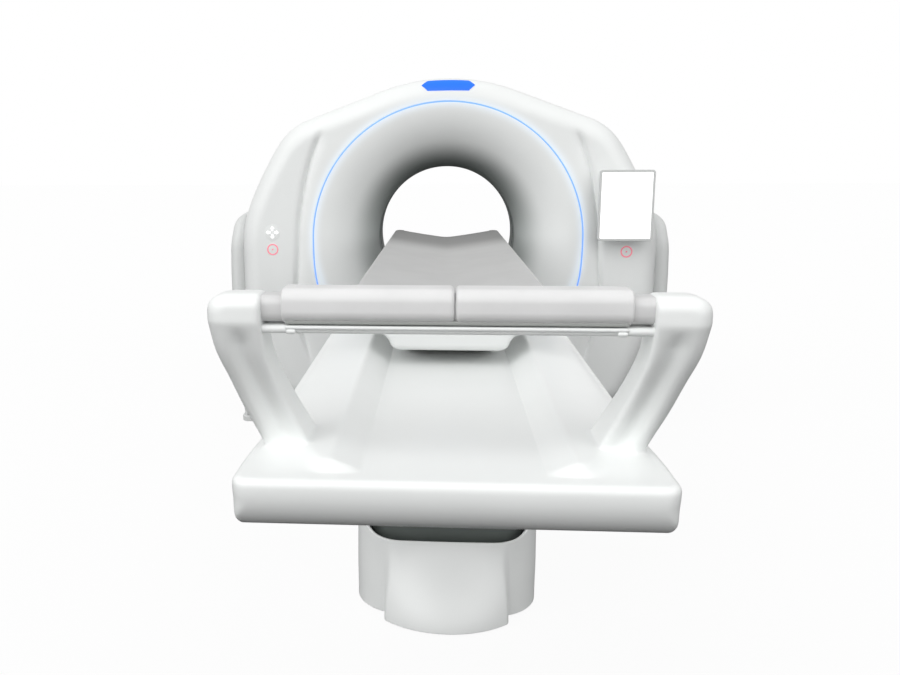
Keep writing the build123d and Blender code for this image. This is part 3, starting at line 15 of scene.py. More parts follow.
import bpy
import numpy as np
from mathutils import Matrix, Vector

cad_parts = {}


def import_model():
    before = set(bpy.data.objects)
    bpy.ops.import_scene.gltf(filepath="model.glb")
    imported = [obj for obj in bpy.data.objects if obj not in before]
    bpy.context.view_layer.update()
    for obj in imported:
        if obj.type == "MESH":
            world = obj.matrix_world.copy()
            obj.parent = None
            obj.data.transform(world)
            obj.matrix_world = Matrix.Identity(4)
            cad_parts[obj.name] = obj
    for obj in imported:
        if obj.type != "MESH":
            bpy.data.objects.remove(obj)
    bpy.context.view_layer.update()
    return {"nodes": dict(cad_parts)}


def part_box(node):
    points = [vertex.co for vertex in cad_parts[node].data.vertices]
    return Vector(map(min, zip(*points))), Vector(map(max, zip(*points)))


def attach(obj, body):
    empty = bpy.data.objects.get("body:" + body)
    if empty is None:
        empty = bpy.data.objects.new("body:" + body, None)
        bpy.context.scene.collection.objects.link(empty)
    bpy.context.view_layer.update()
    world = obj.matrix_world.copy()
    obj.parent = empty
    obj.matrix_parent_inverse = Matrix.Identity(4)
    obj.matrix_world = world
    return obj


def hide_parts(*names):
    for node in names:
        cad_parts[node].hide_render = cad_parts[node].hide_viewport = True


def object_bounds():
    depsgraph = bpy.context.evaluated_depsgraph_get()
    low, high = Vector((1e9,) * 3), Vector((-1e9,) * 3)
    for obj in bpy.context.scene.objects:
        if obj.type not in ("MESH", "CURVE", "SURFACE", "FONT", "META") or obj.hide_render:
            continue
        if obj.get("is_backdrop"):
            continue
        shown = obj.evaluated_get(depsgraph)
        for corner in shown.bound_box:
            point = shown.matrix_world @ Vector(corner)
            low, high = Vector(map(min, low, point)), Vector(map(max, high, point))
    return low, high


Array = np.ndarray
Field = Callable[[Array, Array, Array], Array]
METRE = 0.001
LOG = logging.getLogger("scanner")


class Body(str, Enum):
    """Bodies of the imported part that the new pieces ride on."""

    BASE = "base"
    GANTRY = "tilting_gantry"
    TABLET = "tablet"
    MOVE_KEY = "move_key"
    STOP_LEFT = "stop_key_left"
    STOP_RIGHT = "stop_key_right"
    TABLE = "table"
    CRADLE = "cradle"


class Side(Enum):
    """Side of the machine, as the sign of X."""

    RIGHT = 1
    LEFT = -1


def linear(code: str) -> tuple[float, float, float, float]:
    """Linear colour of an sRGB hex code.

    Args:
        code: six hex digits after a hash.

    Returns:
        Red, green, blue and alpha for a shader socket.
    """
    parts = [int(code[i : i + 2], 16) / 255 for i in (1, 3, 5)]
    lit = [p / 12.92 if p <= 0.04045 else ((p + 0.055) / 1.055) ** 2.4 for p in parts]
    return (*lit, 1.0)


def ease(share: Array) -> Array:
    """Smooth step: three times the square less twice the cube, held between 0 and 1."""
    held = np.clip(share, 0.0, 1.0)
    return held * held * (3.0 - 2.0 * held)


def through(at: Array, knots: Sequence[float], values: Sequence[float]) -> Array:
    """Smooth curve through a table: a cubic on each stretch with the chord slopes at its ends.

    Args:
        at: places to read, any shape.
        knots: rising places of the table.
        values: value at each knot.

    Returns:
        Values of the curve, held constant outside the table.
    """
    k, v = np.asarray(knots, float), np.asarray(values, float)
    slope = np.gradient(v, k)
    x = np.clip(at, k[0], k[-1])
    i = np.clip(np.searchsorted(k, x, side="right") - 1, 0, len(k) - 2)
    width = k[i + 1] - k[i]
    t = (x - k[i]) / width
    a, b = v[i], v[i + 1]
    ma, mb = slope[i] * width, slope[i + 1] * width
    return (
        (2 * t**3 - 3 * t**2 + 1) * a
        + (t**3 - 2 * t**2 + t) * ma
        + (3 * t**2 - 2 * t**3) * b
        + (t**3 - t**2) * mb
    )


def tangent_chain(start: Array, heading: Array, stops: Sequence[tuple[float, float]]) -> Array:
    """Arcs that leave each other without a corner.

    Each arc starts along the heading, ends at the next stop, and hands on its own end heading,
    which is the heading mirrored in the arc's chord.

    Args:
        start: first point.
        heading: unit direction at the start.
        stops: points where one arc ends and the next begins.

    Returns:
        Points along the chain, one row each.
    """
    rows = [np.asarray(start, float)[None]]
    here, way = np.asarray(start, float), np.asarray(heading, float)
    for stop in stops:
        chord = np.asarray(stop, float) - here
        length = np.hypot(*chord)
        bend = math.atan2(way[0] * chord[1] - way[1] * chord[0], way @ chord)
        share = np.linspace(0.0, 1.0, max(int(length / 6.0), 8) + 1)[1:, None]
        if abs(bend) < 1e-5:
            rows.append(here + share * chord)
        else:
            radius = length / (2.0 * math.sin(bend))
            centre = here + radius * np.array([-way[1], way[0]])
            turn = 2.0 * bend * share
            spoke = here - centre
            rows.append(
                centre
                + np.cos(turn) * spoke
                + np.sin(turn) * np.array([-spoke[1], spoke[0]])
            )
        unit = chord / length
        way = 2.0 * (unit @ way) * unit - way
        here = np.asarray(stop, float)
    return np.vstack(rows)


def resampled(loop: Array, count: int, soften: float = 0.0) -> Array:
    """Closed loop at equal steps, its corners softened by a moving bell-shaped mean.

    Args:
        loop: points of the loop, the last joined to the first.
        count: points wanted.
        soften: width of the mean along the loop.

    Returns:
        The new loop.
    """
    closed = np.vstack([loop, loop[:1]])
    run = np.concatenate([[0.0], np.cumsum(np.hypot(*np.diff(closed, axis=0).T))])
    at = np.linspace(0.0, run[-1], count, endpoint=False)
    even = np.stack([np.interp(at, run, closed[:, i]) for i in (0, 1)], axis=1)
    if soften:
        reach = np.minimum(at, run[-1] - at)
        bell = np.exp(-0.5 * (reach / soften) ** 2)
        bell /= bell.sum()
        even = np.fft.ifft(np.fft.fft(even, axis=0) * np.fft.fft(bell)[:, None], axis=0).real
    return even


def inward(loop: Array) -> Array:
    """Unit normals of a closed loop, pointing to the inside of a clockwise one."""
    along = np.roll(loop, -1, axis=0) - np.roll(loop, 1, axis=0)
    unit = along / np.hypot(along[:, 0], along[:, 1])[:, None]
    return np.stack([unit[:, 1], -unit[:, 0]], axis=1)


def rounded_loop(half_a: float, half_b: float, corner: float, steps: int = 12) -> Array:
    """Rounded rectangle as one loop: four quarter circles joined by straight sides."""
    turn = np.linspace(0.0, math.pi / 2, steps + 1)
    quarter = np.stack([np.cos(turn), np.sin(turn)], axis=1) * corner
    centre = np.array([half_a - corner, half_b - corner])
    first = quarter + centre
    second = np.stack([-first[::-1, 0], first[::-1, 1]], axis=1)
    return np.vstack([first, second, -first, -second])


def box_mm(node: str) -> tuple[Array, Array]:
    """Lowest and highest corner of a solid, in millimetres."""
    low, high = (np.array(corner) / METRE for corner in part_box(node))
    return low, high


def along_x(y: float, z: float) -> Callable[[Array, Array], Array]:
    """Placing rule that carries a section of Y and Z along X, its middle at the given place."""
    return lambda rows, along: np.stack([along, rows[..., 0] + y, rows[..., 1] + z], axis=-1)


def along_y(x: float, z: float) -> Callable[[Array, Array], Array]:
    """Placing rule that carries a section of X and Z along Y, its middle at the given place."""
    return lambda rows, along: np.stack([rows[..., 0] + x, along, rows[..., 1] + z], axis=-1)


def make_object(name: str, points: Array, faces: Sequence, body: Body) -> bpy.types.Object:
    """Mesh object from points in millimetres, riding on a body.

    Args:
        name: name of the piece.
        points: vertex places, last axis X, Y, Z.
        faces: corner numbers of each face.
        body: body that carries it.

    Returns:
        The new object, at the origin.
    """
    mesh = bpy.data.meshes.new(name)
    mesh.from_pydata((points.reshape(-1, 3) * METRE).tolist(), [], faces)
    mesh.validate()
    mesh.shade_smooth()
    piece = bpy.data.objects.new(name, mesh)
    bpy.context.scene.collection.objects.link(piece)
    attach(piece, body.value)
    return piece


def net_faces(rows: int, cols: int, ring: bool, flip: bool) -> list:
    """Quads of a net of points.

    Args:
        rows: points along the path.
        cols: points along each row.
        ring: whether each row is closed.
        flip: turns the faces over.

    Returns:
        One list of four corner numbers per face.
    """
    i, j = np.meshgrid(np.arange(rows - 1), np.arange(cols if ring else cols - 1), indexing="ij")
    k = (j + 1) % cols
    quads = np.stack([i * cols + j, i * cols + k, (i + 1) * cols + k, (i + 1) * cols + j], axis=-1)
    quads = quads.reshape(-1, 4)
    return (quads[:, ::-1] if flip else quads).tolist()


def loft(
    name: str,
    net: Array,
    body: Body,
    ring: bool = True,
    caps: tuple[bool, bool] = (True, True),
    flip: bool = False,
    sharp: float = 35.0,
) -> bpy.types.Object:
    """Skin over a net of points, its ends closed by flat faces.

    Args:
        name: name of the piece.
        net: rows of points along a path.
        body: body that carries it.
        ring: whether each row is closed.
        caps: whether the first and last row get an end face.
        flip: turns the faces over.
        sharp: angle in degrees above which an edge stays crisp.

    Returns:
        The new object.
    """
    rows, cols = net.shape[:2]
    faces = net_faces(rows, cols, ring, flip)
    first = list(range(cols))
    last = [(rows - 1) * cols + c for c in range(cols)]
    if caps[0]:
        faces.append(first if flip else first[::-1])
    if caps[1]:
        faces.append(last[::-1] if flip else last)
    piece = make_object(name, net, faces, body)
    piece.data.set_sharp_from_angle(angle=math.radians(sharp))
    smooth = np.ones(len(faces), bool)
    smooth[len(faces) - sum(caps) :] = False
    piece.data.polygons.foreach_set("use_smooth", smooth)
    return piece


def closed_skin(name: str, net: Array, body: Body, sharp: float) -> bpy.types.Object:
    """Skin over a net whose rows are closed and whose last row joins its first.

    Args:
        name: name of the piece.
        net: rows of points round the piece.
        body: body that carries it.
        sharp: angle in degrees above which an edge stays crisp.

    Returns:
        The new object.
    """
    rows, cols = net.shape[:2]
    faces = np.array(net_faces(rows + 1, cols, True, False)) % (rows * cols)
    piece = make_object(name, net, faces.tolist(), body)
    piece.data.set_sharp_from_angle(angle=math.radians(sharp))
    mend_normals(piece)
    return piece


def turned(
    name: str,
    profile: Array,
    centre_z: float,
    body: Body,
    steps: int = 160,
    centre_x: float = 0.0,
    widen: Callable[[Array, Array], Array] | None = None,
) -> bpy.types.Object:
    """Closed profile of radius and Y, turned about an axis along Y.

    Args:
        name: name of the piece.
        profile: rows of radius and Y, round the section once.
        centre_z: height of the axis.
        body: body that carries it.
        steps: points round the axis.
        centre_x: place of the axis across.
        widen: gives the final place across from the round one and the height.

    Returns:
        The new object.
    """
    turn = np.linspace(0.0, 2 * math.pi, steps, endpoint=False)[:, None]
    radius, along = profile[:, 0][None], profile[:, 1][None]
    net = np.stack(
        [
            centre_x + radius * np.sin(turn),
            np.broadcast_to(along, (steps, len(profile))),
            centre_z + radius * np.cos(turn),
        ],
        axis=-1,
    )
    if widen:
        net[..., 0] = widen(net[..., 0], net[..., 2])
    return closed_skin(name, net, body, 40.0)


def mend_normals(piece: bpy.types.Object) -> None:
    """Turns every face of a closed piece outwards, by the sign of the volume it encloses."""
    mesh = piece.data
    mesh.calc_loop_triangles()
    count = len(mesh.loop_triangles)
    corners = np.empty(count * 3, np.int64)
    mesh.loop_triangles.foreach_get("vertices", corners)
    places = np.empty(len(mesh.vertices) * 3)
    mesh.vertices.foreach_get("co", places)
    a, b, c = places.reshape(-1, 3)[corners.reshape(-1, 3)].transpose(1, 0, 2)
    if np.einsum("ij,ij->i", a, np.cross(b, c)).sum() < 0:
        mesh.flip_normals()


def pillow(
    name: str,
    loop: Array,
    place: Callable[[Array, Array], Array],
    start: float,
    end: float,
    round_start: float,
    round_end: float,
    body: Body,
    steps: int = 6,
) -> bpy.types.Object:
    """Bar with a closed section and rounded end edges.

    The section shrinks along a quarter circle at each end: the inset is the end radius less its
    cosine share, and the place along the bar is the end radius times the sine share.

    Args:
        name: name of the piece.
        loop: section, anticlockwise, around its own middle.
        place: turns section points and a place along the bar into X, Y, Z.
        start: first end of the bar.
        end: last end of the bar.
        round_start: edge radius at the start.
        round_end: edge radius at the end.
        body: body that carries it.
        steps: points on each end radius.

    Returns:
        The new object.
    """
    normal = inward(loop[::-1])[::-1]
    turn = np.linspace(0.0, math.pi / 2, steps + 1)
    inset = np.concatenate([round_start * (1 - np.sin(turn)), round_end * (1 - np.cos(turn))])
    along = np.concatenate([start + round_start * (1 - np.cos(turn)), end - round_end * (1 - np.sin(turn))])
    rows = loop[None] + inset[:, None, None] * normal[None]
    net = place(rows, np.broadcast_to(along[:, None], rows.shape[:2]))
    piece = loft(name, net, body)
    mend_normals(piece)
    return piece


def meet(a: Array, b: Array, radius: float) -> Array:
    """Common part of two fields, its edge rounded to a radius."""
    u, v = np.maximum(a + radius, 0.0), np.maximum(b + radius, 0.0)
    return np.minimum(np.maximum(a, b), -radius) + np.hypot(u, v)


def weld(a: Array, b: Array, reach: float) -> Array:
    """Union of two fields with a soft fillet whose size is the reach."""
    h = np.clip(0.5 + 0.5 * (b - a) / reach, 0.0, 1.0)
    return b + (a - b) * h - reach * h * (1.0 - h)


def field_shell(
    name: str, field: Field, low: Sequence[float], high: Sequence[float], step: float, body: Body
) -> bpy.types.Object:
    """Skin of a solid given by a field that is negative inside.

    One vertex goes into each cell that the skin crosses, at the mean of the crossings on its
    edges; four cells round a crossed grid edge make a quad. Each vertex is then moved along the
    field's slope until the field is zero there.

    Args:
        name: name of the piece.
        field: value at X, Y, Z, in millimetres.
        low: lowest corner of the space looked at.
        high: highest corner.
        step: size of a cell.
        body: body that carries it.

    Returns:
        The new object.
    """
    axes = [np.arange(a, b + step, step) for a, b in zip(low, high)]
    value = field(*np.meshgrid(*axes, indexing="ij", sparse=True))
    value = np.broadcast_to(value, [len(a) for a in axes])
    inside = value < 0
    cells = [n - 1 for n in value.shape]
    offsets = np.array([(a, b, c) for a in (0, 1) for b in (0, 1) for c in (0, 1)])
    total = sum(
        inside[a : a + cells[0], b : b + cells[1], c : c + cells[2]].astype(np.int8)
        for a, b, c in offsets
    )
    active = (total > 0) & (total < 8)
    where = np.argwhere(active)
    number = np.full(cells, -1)
    number[active] = np.arange(len(where))
    corner = where[:, None] + offsets[None]
    held = value[corner[..., 0], corner[..., 1], corner[..., 2]]
    point_sum, point_count = np.zeros((len(where), 3)), np.zeros(len(where))
    for i in range(8):
        for j in range(i + 1, 8):
            if np.abs(offsets[i] - offsets[j]).sum() != 1:
                continue
            crossed = (held[:, i] < 0) != (held[:, j] < 0)
            share = held[crossed, i] / (held[crossed, i] - held[crossed, j])
            point_sum[crossed] += offsets[i] + share[:, None] * (offsets[j] - offsets[i])
            point_count[crossed] += 1
    points = np.asarray(low) + step * (where + point_sum / point_count[:, None])
    nudge = 0.05 * np.eye(3)
    for _ in range(4):
        here = field(*points.T)
        slope = np.stack(
            [(field(*(points + n).T) - field(*(points - n).T)) / 0.1 for n in nudge], axis=1
        )
        size = np.maximum((slope**2).sum(axis=1), 0.05)
        points = points - np.clip(here / size, -step, step)[:, None] * slope
    quads = []
    for axis in range(3):
        lower = np.take(inside, np.arange(value.shape[axis] - 1), axis)
        upper = np.take(inside, np.arange(1, value.shape[axis]), axis)
        nodes = np.argwhere(lower != upper)
        p, q = (axis + 1) % 3, (axis + 2) % 3
        keep = (nodes[:, p] > 0) & (nodes[:, q] > 0)
        keep &= (nodes[:, p] < cells[p]) & (nodes[:, q] < cells[q])
        nodes = nodes[keep]
        back_p, back_q = np.eye(3, dtype=int)[p], np.eye(3, dtype=int)[q]
        loop = [nodes - back_p - back_q, nodes - back_q, nodes, nodes - back_p]
        quad = np.stack([number[n[:, 0], n[:, 1], n[:, 2]] for n in loop], axis=1)
        out = ~lower[nodes[:, 0], nodes[:, 1], nodes[:, 2]]
        quad[out] = quad[out][:, ::-1]
        quads.append(quad)
    piece = make_object(name, points, np.vstack(quads).tolist(), body)
    mend_normals(piece)
    return piece


def prism(name: str, loop: Array, near: float, far: float, body: Body) -> bpy.types.Object:
    """Flat-ended prism over a loop of X and Z, from one place along Y to another."""
    rows = np.stack([loop, loop])
    y = np.array([[near], [far]]) * np.ones((1, len(loop)))
    piece = loft(name, np.stack([rows[..., 0], y, rows[..., 1]], axis=-1), body)
    mend_normals(piece)
    return piece


def cut_away(piece: bpy.types.Object, loop: Array, near: float, far: float) -> None:
    """Cuts a prism out of a piece.

    Args:
        piece: piece to cut.
        loop: outline of the prism in X and Z.
        near: Y where the prism starts.
        far: Y where it ends.
    """
    cutter = prism("cutter", loop, near, far, Body.BASE)
    cut = piece.modifiers.new("opening", "BOOLEAN")
    cut.operation, cut.solver, cut.object = "DIFFERENCE", "EXACT", cutter
    depsgraph = bpy.context.evaluated_depsgraph_get()
    mesh = bpy.data.meshes.new_from_object(piece.evaluated_get(depsgraph))
    piece.modifiers.clear()
    piece.data = mesh
    bpy.data.objects.remove(cutter)


def thicken(piece: bpy.types.Object, wall: float) -> None:
    """Gives an open skin its wall, on the inner side."""
    solid = piece.modifiers.new("wall", "SOLIDIFY")
    solid.thickness = wall * METRE
    solid.offset = -1.0
    solid.use_even_offset = False


def soften_edges(piece: bpy.types.Object, width: float, segments: int = 3, angle: float = 32.0) -> None:
    """Rounds the crisp edges of a piece."""
    bevel = piece.modifiers.new("edges", "BEVEL")
    bevel.width = width * METRE
    bevel.segments = segments
    bevel.limit_method = "ANGLE"
    bevel.angle_limit = math.radians(angle)
    bevel.harden_normals = True
    bevel.use_clamp_overlap = True


def add_node(tree: bpy.types.NodeTree, kind: str, **wants: object) -> bpy.types.Node:
    """Adds a node with its settings and links.

    Args:
        tree: node tree it goes into.
        kind: Blender's name of the node type.
        wants: settings of the node by name; a key that begins with in_ sets or links the
            input socket of that name or number.

    Returns:
        The new node.
    """
    node = tree.nodes.new(kind)
    for key, value in wants.items():
        if not key.startswith("in_"):
            setattr(node, key, value)
    for key, value in wants.items():
        if key.startswith("in_"):
            label = key[3:].replace("_", " ")
            socket = node.inputs[int(label)] if label.isdigit() else node.inputs[label]
            if isinstance(value, bpy.types.NodeSocket):
                tree.links.new(value, socket)
            else:
                socket.default_value = value
    return node


def blend(tree: bpy.types.NodeTree, share: object, low: object, high: object) -> bpy.types.NodeSocket:
    """Colour between a low and a high one, each a socket or a colour, by a share."""
    mix = add_node(tree, "ShaderNodeMix", data_type="RGBA", in_Factor=share, in_6=low, in_7=high)
    return mix.outputs[2]


def share_of(
    tree: bpy.types.NodeTree, value: bpy.types.NodeSocket, start_mm: float, end_mm: float,
    kind: str = "LINEAR",
) -> bpy.types.NodeSocket:
    """How far a length in metres has come from a start to an end in millimetres, 0 to 1.

    Args:
        tree: node tree of the material.
        value: socket that gives the length.
        start_mm: length where the share is 0.
        end_mm: length where it is 1.
        kind: Blender's name of the interpolation.

    Returns:
        Socket that gives the share.
    """
    share = add_node(
        tree, "ShaderNodeMapRange", interpolation_type=kind,
        in_Value=value, in_From_Min=start_mm * METRE, in_From_Max=end_mm * METRE,
    )
    return share.outputs[0]


class Grain(Enum):
    """How a surface was made, which decides its relief."""

    MOULDED = "moulded"
    BRUSHED = "brushed"
    CAST = "cast"


@dataclass(frozen=True)
class Finish:
    """A surface: two close tones in soft clouds, a fine relief and a gloss.

    Attributes:
        name: what the material is and how it was made.
        tone: colour, as written on a sample card.
        tone_low: the slightly darker tone of the clouds.
        roughness: mean roughness.
        ior: refractive index; metals keep 1.5.
        metallic: 1 for bare metal.
        cloud_mm: size of the tonal clouds.
        grain_mm: spacing of the relief.
        relief_mm: depth of the relief.
        coat: share of a clear coat.
        grain: how the surface was made.
    """

    name: str
    tone: str
    tone_low: str
    roughness: float = 0.4
    ior: float = 1.5
    metallic: float = 0.0
    cloud_mm: float = 400.0
    grain_mm: float = 3.0
    relief_mm: float = 0.02
    coat: float = 0.0
    grain: Grain = Grain.MOULDED

    def colour(self, tree: bpy.types.NodeTree, place: bpy.types.NodeSocket) -> bpy.types.NodeSocket:
        """Colour of the surface: the two tones mixed by slow noise.

        Args:
            tree: node tree of the material.
            place: object coordinates.

        Returns:
            Socket that gives the colour.
        """
        cloud = add_node(
            tree, "ShaderNodeTexNoise", in_Vector=place, in_Scale=1000.0 / self.cloud_mm, in_Detail=3.0
        )
        spread = add_node(
            tree, "ShaderNodeMapRange", in_Value=cloud.outputs[0], in_From_Min=0.35, in_From_Max=0.65
        )
        return blend(tree, spread.outputs[0], linear(self.tone_low), linear(self.tone))

    def relief(self, tree: bpy.types.NodeTree, place: bpy.types.NodeSocket) -> bpy.types.NodeSocket:
        """Height pattern of the surface, in shares of its depth.

        Args:
            tree: node tree of the material.
            place: object coordinates.

        Returns:
            Socket that gives the height.
        """
        if self.grain is Grain.BRUSHED:
            place = add_node(
                tree, "ShaderNodeMapping", in_Vector=place, in_Scale=(1.0, 0.04, 1.0)
            ).outputs[0]
        noise = add_node(
            tree,
            "ShaderNodeTexNoise",
            in_Vector=place,
            in_Scale=1000.0 / self.grain_mm,
            in_Detail=4.0 if self.grain is Grain.CAST else 1.0,
            in_Roughness=0.6 if self.grain is Grain.CAST else 0.4,
        )
        return noise.outputs[0]

    def build(self) -> bpy.types.Material:
        """Makes the material of this finish."""
        material = bpy.data.materials.new(self.name)
        material.use_nodes = True
        tree = material.node_tree
        tree.nodes.clear()
        place = add_node(tree, "ShaderNodeTexCoord").outputs["Object"]
        height = self.relief(tree, place)
        bump = add_node(
            tree, "ShaderNodeBump", in_Height=height, in_Strength=1.0, in_Distance=self.relief_mm * METRE
        )
        sheen = add_node(
            tree,
            "ShaderNodeMapRange",
            in_Value=height,
            in_To_Min=self.roughness - 0.04,
            in_To_Max=self.roughness + 0.04,
        )
        shader = add_node(
            tree,
            "ShaderNodeBsdfPrincipled",
            in_Base_Color=self.colour(tree, place),
            in_Roughness=sheen.outputs[0],
            in_Metallic=self.metallic,
            in_IOR=self.ior,
            in_Coat_Weight=self.coat,
            in_Coat_Roughness=0.12,
            in_Normal=bump.outputs[0],
        )
        self.glow(tree, place, shader)
        add_node(tree, "ShaderNodeOutputMaterial", in_Surface=shader.outputs[0])
        return material

    def glow(
        self, tree: bpy.types.NodeTree, place: bpy.types.NodeSocket, shader: bpy.types.Node
    ) -> None:
        """Adds the light that the surface gives off; none on a plain finish."""


def bore_distance(tree: bpy.types.NodeTree, place: bpy.types.NodeSocket) -> bpy.types.NodeSocket:
    """Distance from the bore axis, in metres: the length of X and of Z less the axis height.

    Args:
        tree: node tree of the material.
        place: object coordinates.

    Returns:
        Socket that gives the distance.
    """
    moved = add_node(
        tree,
        "ShaderNodeMapping",
        in_Vector=place,
        in_Location=(0.0, 0.0, -Gantry.axis_z * METRE),
    )
    flat = add_node(
        tree, "ShaderNodeVectorMath", operation="MULTIPLY", in_0=moved.outputs[0], in_1=(1.0, 0.0, 1.0)
    )
    return add_node(tree, "ShaderNodeVectorMath", operation="LENGTH", in_0=flat.outputs[0]).outputs[1]


@dataclass(frozen=True)
class RingLitShell(Finish):
    """Moulded shell with the ring's spilt light painted on as a glow, within a hand's width of the ring.

    Attributes:
        spill: colour of the painted glow of spilt light.
        strength: its strength at the ring.
        reach_mm: distance at which it has faded to a third.
        ring_mm: radius of the ring.
    """

    spill: str = "#B9DCFF"
    strength: float = 0.2
    reach_mm: float = 26.0
    ring_mm: float = 669.5

    def glow(
        self, tree: bpy.types.NodeTree, place: bpy.types.NodeSocket, shader: bpy.types.Node
    ) -> None:
        """Light that falls off as a bell with the distance from the ring.

        Args:
            tree: node tree of the material.
            place: object coordinates.
            shader: surface shader whose emission is set.
        """
        away = add_node(
            tree,
            "ShaderNodeMath",
            operation="SUBTRACT",
            in_0=bore_distance(tree, place),
            in_1=self.ring_mm * METRE,
        )
        scaled = add_node(
            tree, "ShaderNodeMath", operation="DIVIDE", in_0=away.outputs[0], in_1=self.reach_mm * METRE
        )
        square = add_node(
            tree, "ShaderNodeMath", operation="MULTIPLY", in_0=scaled.outputs[0], in_1=scaled.outputs[0]
        )
        bell = add_node(tree, "ShaderNodeMath", operation="POWER", in_0=0.33, in_1=square.outputs[0])
        power = add_node(
            tree, "ShaderNodeMath", operation="MULTIPLY", in_0=bell.outputs[0], in_1=self.strength
        )
        # the shell itself glows: painted light standing in for the ring's spill
        shader.inputs["Emission Color"].default_value = linear(self.spill)
        tree.links.new(power.outputs[0], shader.inputs["Emission Strength"])


@dataclass(frozen=True)
class MouthShell(RingLitShell):
    """Shell of the bell mouth: white at the ring, darkened to grey at the throat as painted shade deep in
    the bore.

    Attributes:
        throat: colour of the painted shade at the throat, beside the axis and below it.
        vault: darker colour of the painted shade at the throat above the axis, where the shell faces down.
        throat_mm: radius where the throat colour is reached.
        rim_mm: radius where the shell colour is reached.
    """

    throat: str = "#BEC3C1"
    vault: str = "#6C7270"
    throat_mm: float = 362.0
    rim_mm: float = 500.0

    def colour(self, tree: bpy.types.NodeTree, place: bpy.types.NodeSocket) -> bpy.types.NodeSocket:
        """Shell colour mixed to the throat's painted shade by the distance from the bore axis.

        The painted shade at the throat itself darkens to the vault colour with the height above the axis.

        Args:
            tree: node tree of the material.
            place: object coordinates.

        Returns:
            Socket that gives the colour.
        """
        share = share_of(tree, bore_distance(tree, place), self.throat_mm, self.rim_mm, "SMOOTHSTEP")
        height = add_node(tree, "ShaderNodeSeparateXYZ", in_Vector=place).outputs[2]
        high = share_of(tree, height, Gantry.axis_z, Gantry.axis_z + self.throat_mm)
        deep = blend(tree, high, linear(self.throat), linear(self.vault))
        return blend(tree, share, deep, Finish.colour(self, tree, place))


@dataclass(frozen=True)
class TipShadedLaminate(Finish):
    """Laminate whose gel coat thins out towards the tip, so the dark fibre shows through.

    Attributes:
        tip_shade: colour of the painted shade at the tip.
        start_mm: place along the machine where the painted shade begins.
        end_mm: place of the tip, where the painted shade is full.
    """

    tip_shade: str = "#8A8A89"
    start_mm: float = 380.0
    end_mm: float = 900.0

    def colour(self, tree: bpy.types.NodeTree, place: bpy.types.NodeSocket) -> bpy.types.NodeSocket:
        """Coat colour mixed to the painted shade colour along Y.

        Args:
            tree: node tree of the material.
            place: object coordinates.

        Returns:
            Socket that gives the colour.
        """
        along = add_node(tree, "ShaderNodeSeparateXYZ", in_Vector=place).outputs[1]
        share = share_of(tree, along, self.start_mm, self.end_mm, "SMOOTHSTEP")
        # darker towards the tip: painted shade of the bore
        return blend(tree, share, Finish.colour(self, tree, place), linear(self.tip_shade))


@dataclass(frozen=True)
class Lamp(Finish):
    """Diffusing plastic lit from behind, its colour running up the piece.

    Attributes:
        low: colour of the light at the bottom of the piece.
        high: colour at the top.
        low_mm: height where the low colour is.
        high_mm: height where the high colour is.
        strength: strength of the light.
    """

    low: str = "#4080FF"
    high: str = "#0080FF"
    low_mm: float = 0.0
    high_mm: float = 1.0
    strength: float = 1.0

    def glow(
        self, tree: bpy.types.NodeTree, place: bpy.types.NodeSocket, shader: bpy.types.Node
    ) -> None:
        """Light whose colour runs from the low to the high colour with Z.

        Args:
            tree: node tree of the material.
            place: object coordinates.
            shader: surface shader whose emission is set.
        """
        height = add_node(tree, "ShaderNodeSeparateXYZ", in_Vector=place).outputs[2]
        share = share_of(tree, height, self.low_mm, self.high_mm)
        colour = blend(tree, share, linear(self.low), linear(self.high))
        tree.links.new(colour, shader.inputs["Emission Color"])
        shader.inputs["Emission Strength"].default_value = self.strength


# Polyurethane mouldings, sprayed satin white: soft sheen, a trace of orange peel
SHELL = Finish(
    "sprayed_polyurethane_white", "#EEF0EF", "#EBEDEC", 0.36, grain_mm=4.0, relief_mm=0.012
)
# Table covers: a lighter copy of the white shell, painted light that lifts the bar's shadow on the channel
TABLE_SHELL_PAINTED_LIGHT = Finish(
    "sprayed_polyurethane_table_painted_light", "#F6F8F7", "#F3F5F4", 0.36, grain_mm=4.0, relief_mm=0.012
)
# Stands, trolley and gantry base: a darker copy of the white shell, as painted shade
STAND_SHELL_PAINTED_SHADE = Finish(
    "sprayed_polyurethane_stand_painted_shade", "#DBDDDC", "#D8DAD9", 0.4, grain_mm=4.0, relief_mm=0.012
)
# Fascia: white shell with the ring's spilt light painted on as a glow
FASCIA = RingLitShell(
    "sprayed_polyurethane_fascia_painted_glow", "#EEF0EF", "#EBEDEC", 0.36, grain_mm=4.0, relief_mm=0.012
)
# Bell mouths: white shell with painted shade towards the throat, darkest above the axis, and the ring's
# painted glow
MOUTH = MouthShell(
    "sprayed_polyurethane_mouth", "#ECEEED", "#E9EBEA", 0.42, grain_mm=4.0, relief_mm=0.012
)
# Moulded ABS of the bore liners: grey, toned down to matt mid grey as painted shade deep in the throat
LINER = Finish("moulded_abs_liner_painted_shade", "#8F9593", "#8A908E", 0.5, grain_mm=2.0, relief_mm=0.01)
# Polyester film over the scan gap: smooth dark band
WINDOW = Finish("polyester_film_window", "#5B6062", "#565B5D", 0.25, 1.6, relief_mm=0.004)
# Acrylic light guide: even pale blue line, a little paler towards the crown
RING = Lamp(
    "acrylic_light_guide", "#5F88CC", "#5A82C6", 0.3, 1.49,
    low="#74A2F4", high="#8ABAF8", low_mm=700.0, high_mm=1650.0, strength=0.75,
)
# Acrylic lens of the status light: saturated blue that lightens downwards
STATUS = Lamp(
    "acrylic_status_lens", "#06245E", "#062056", 0.3, 1.49,
    low="#2A7CFF", high="#0080FF", low_mm=1724.0, high_mm=1774.0, strength=0.9,
)
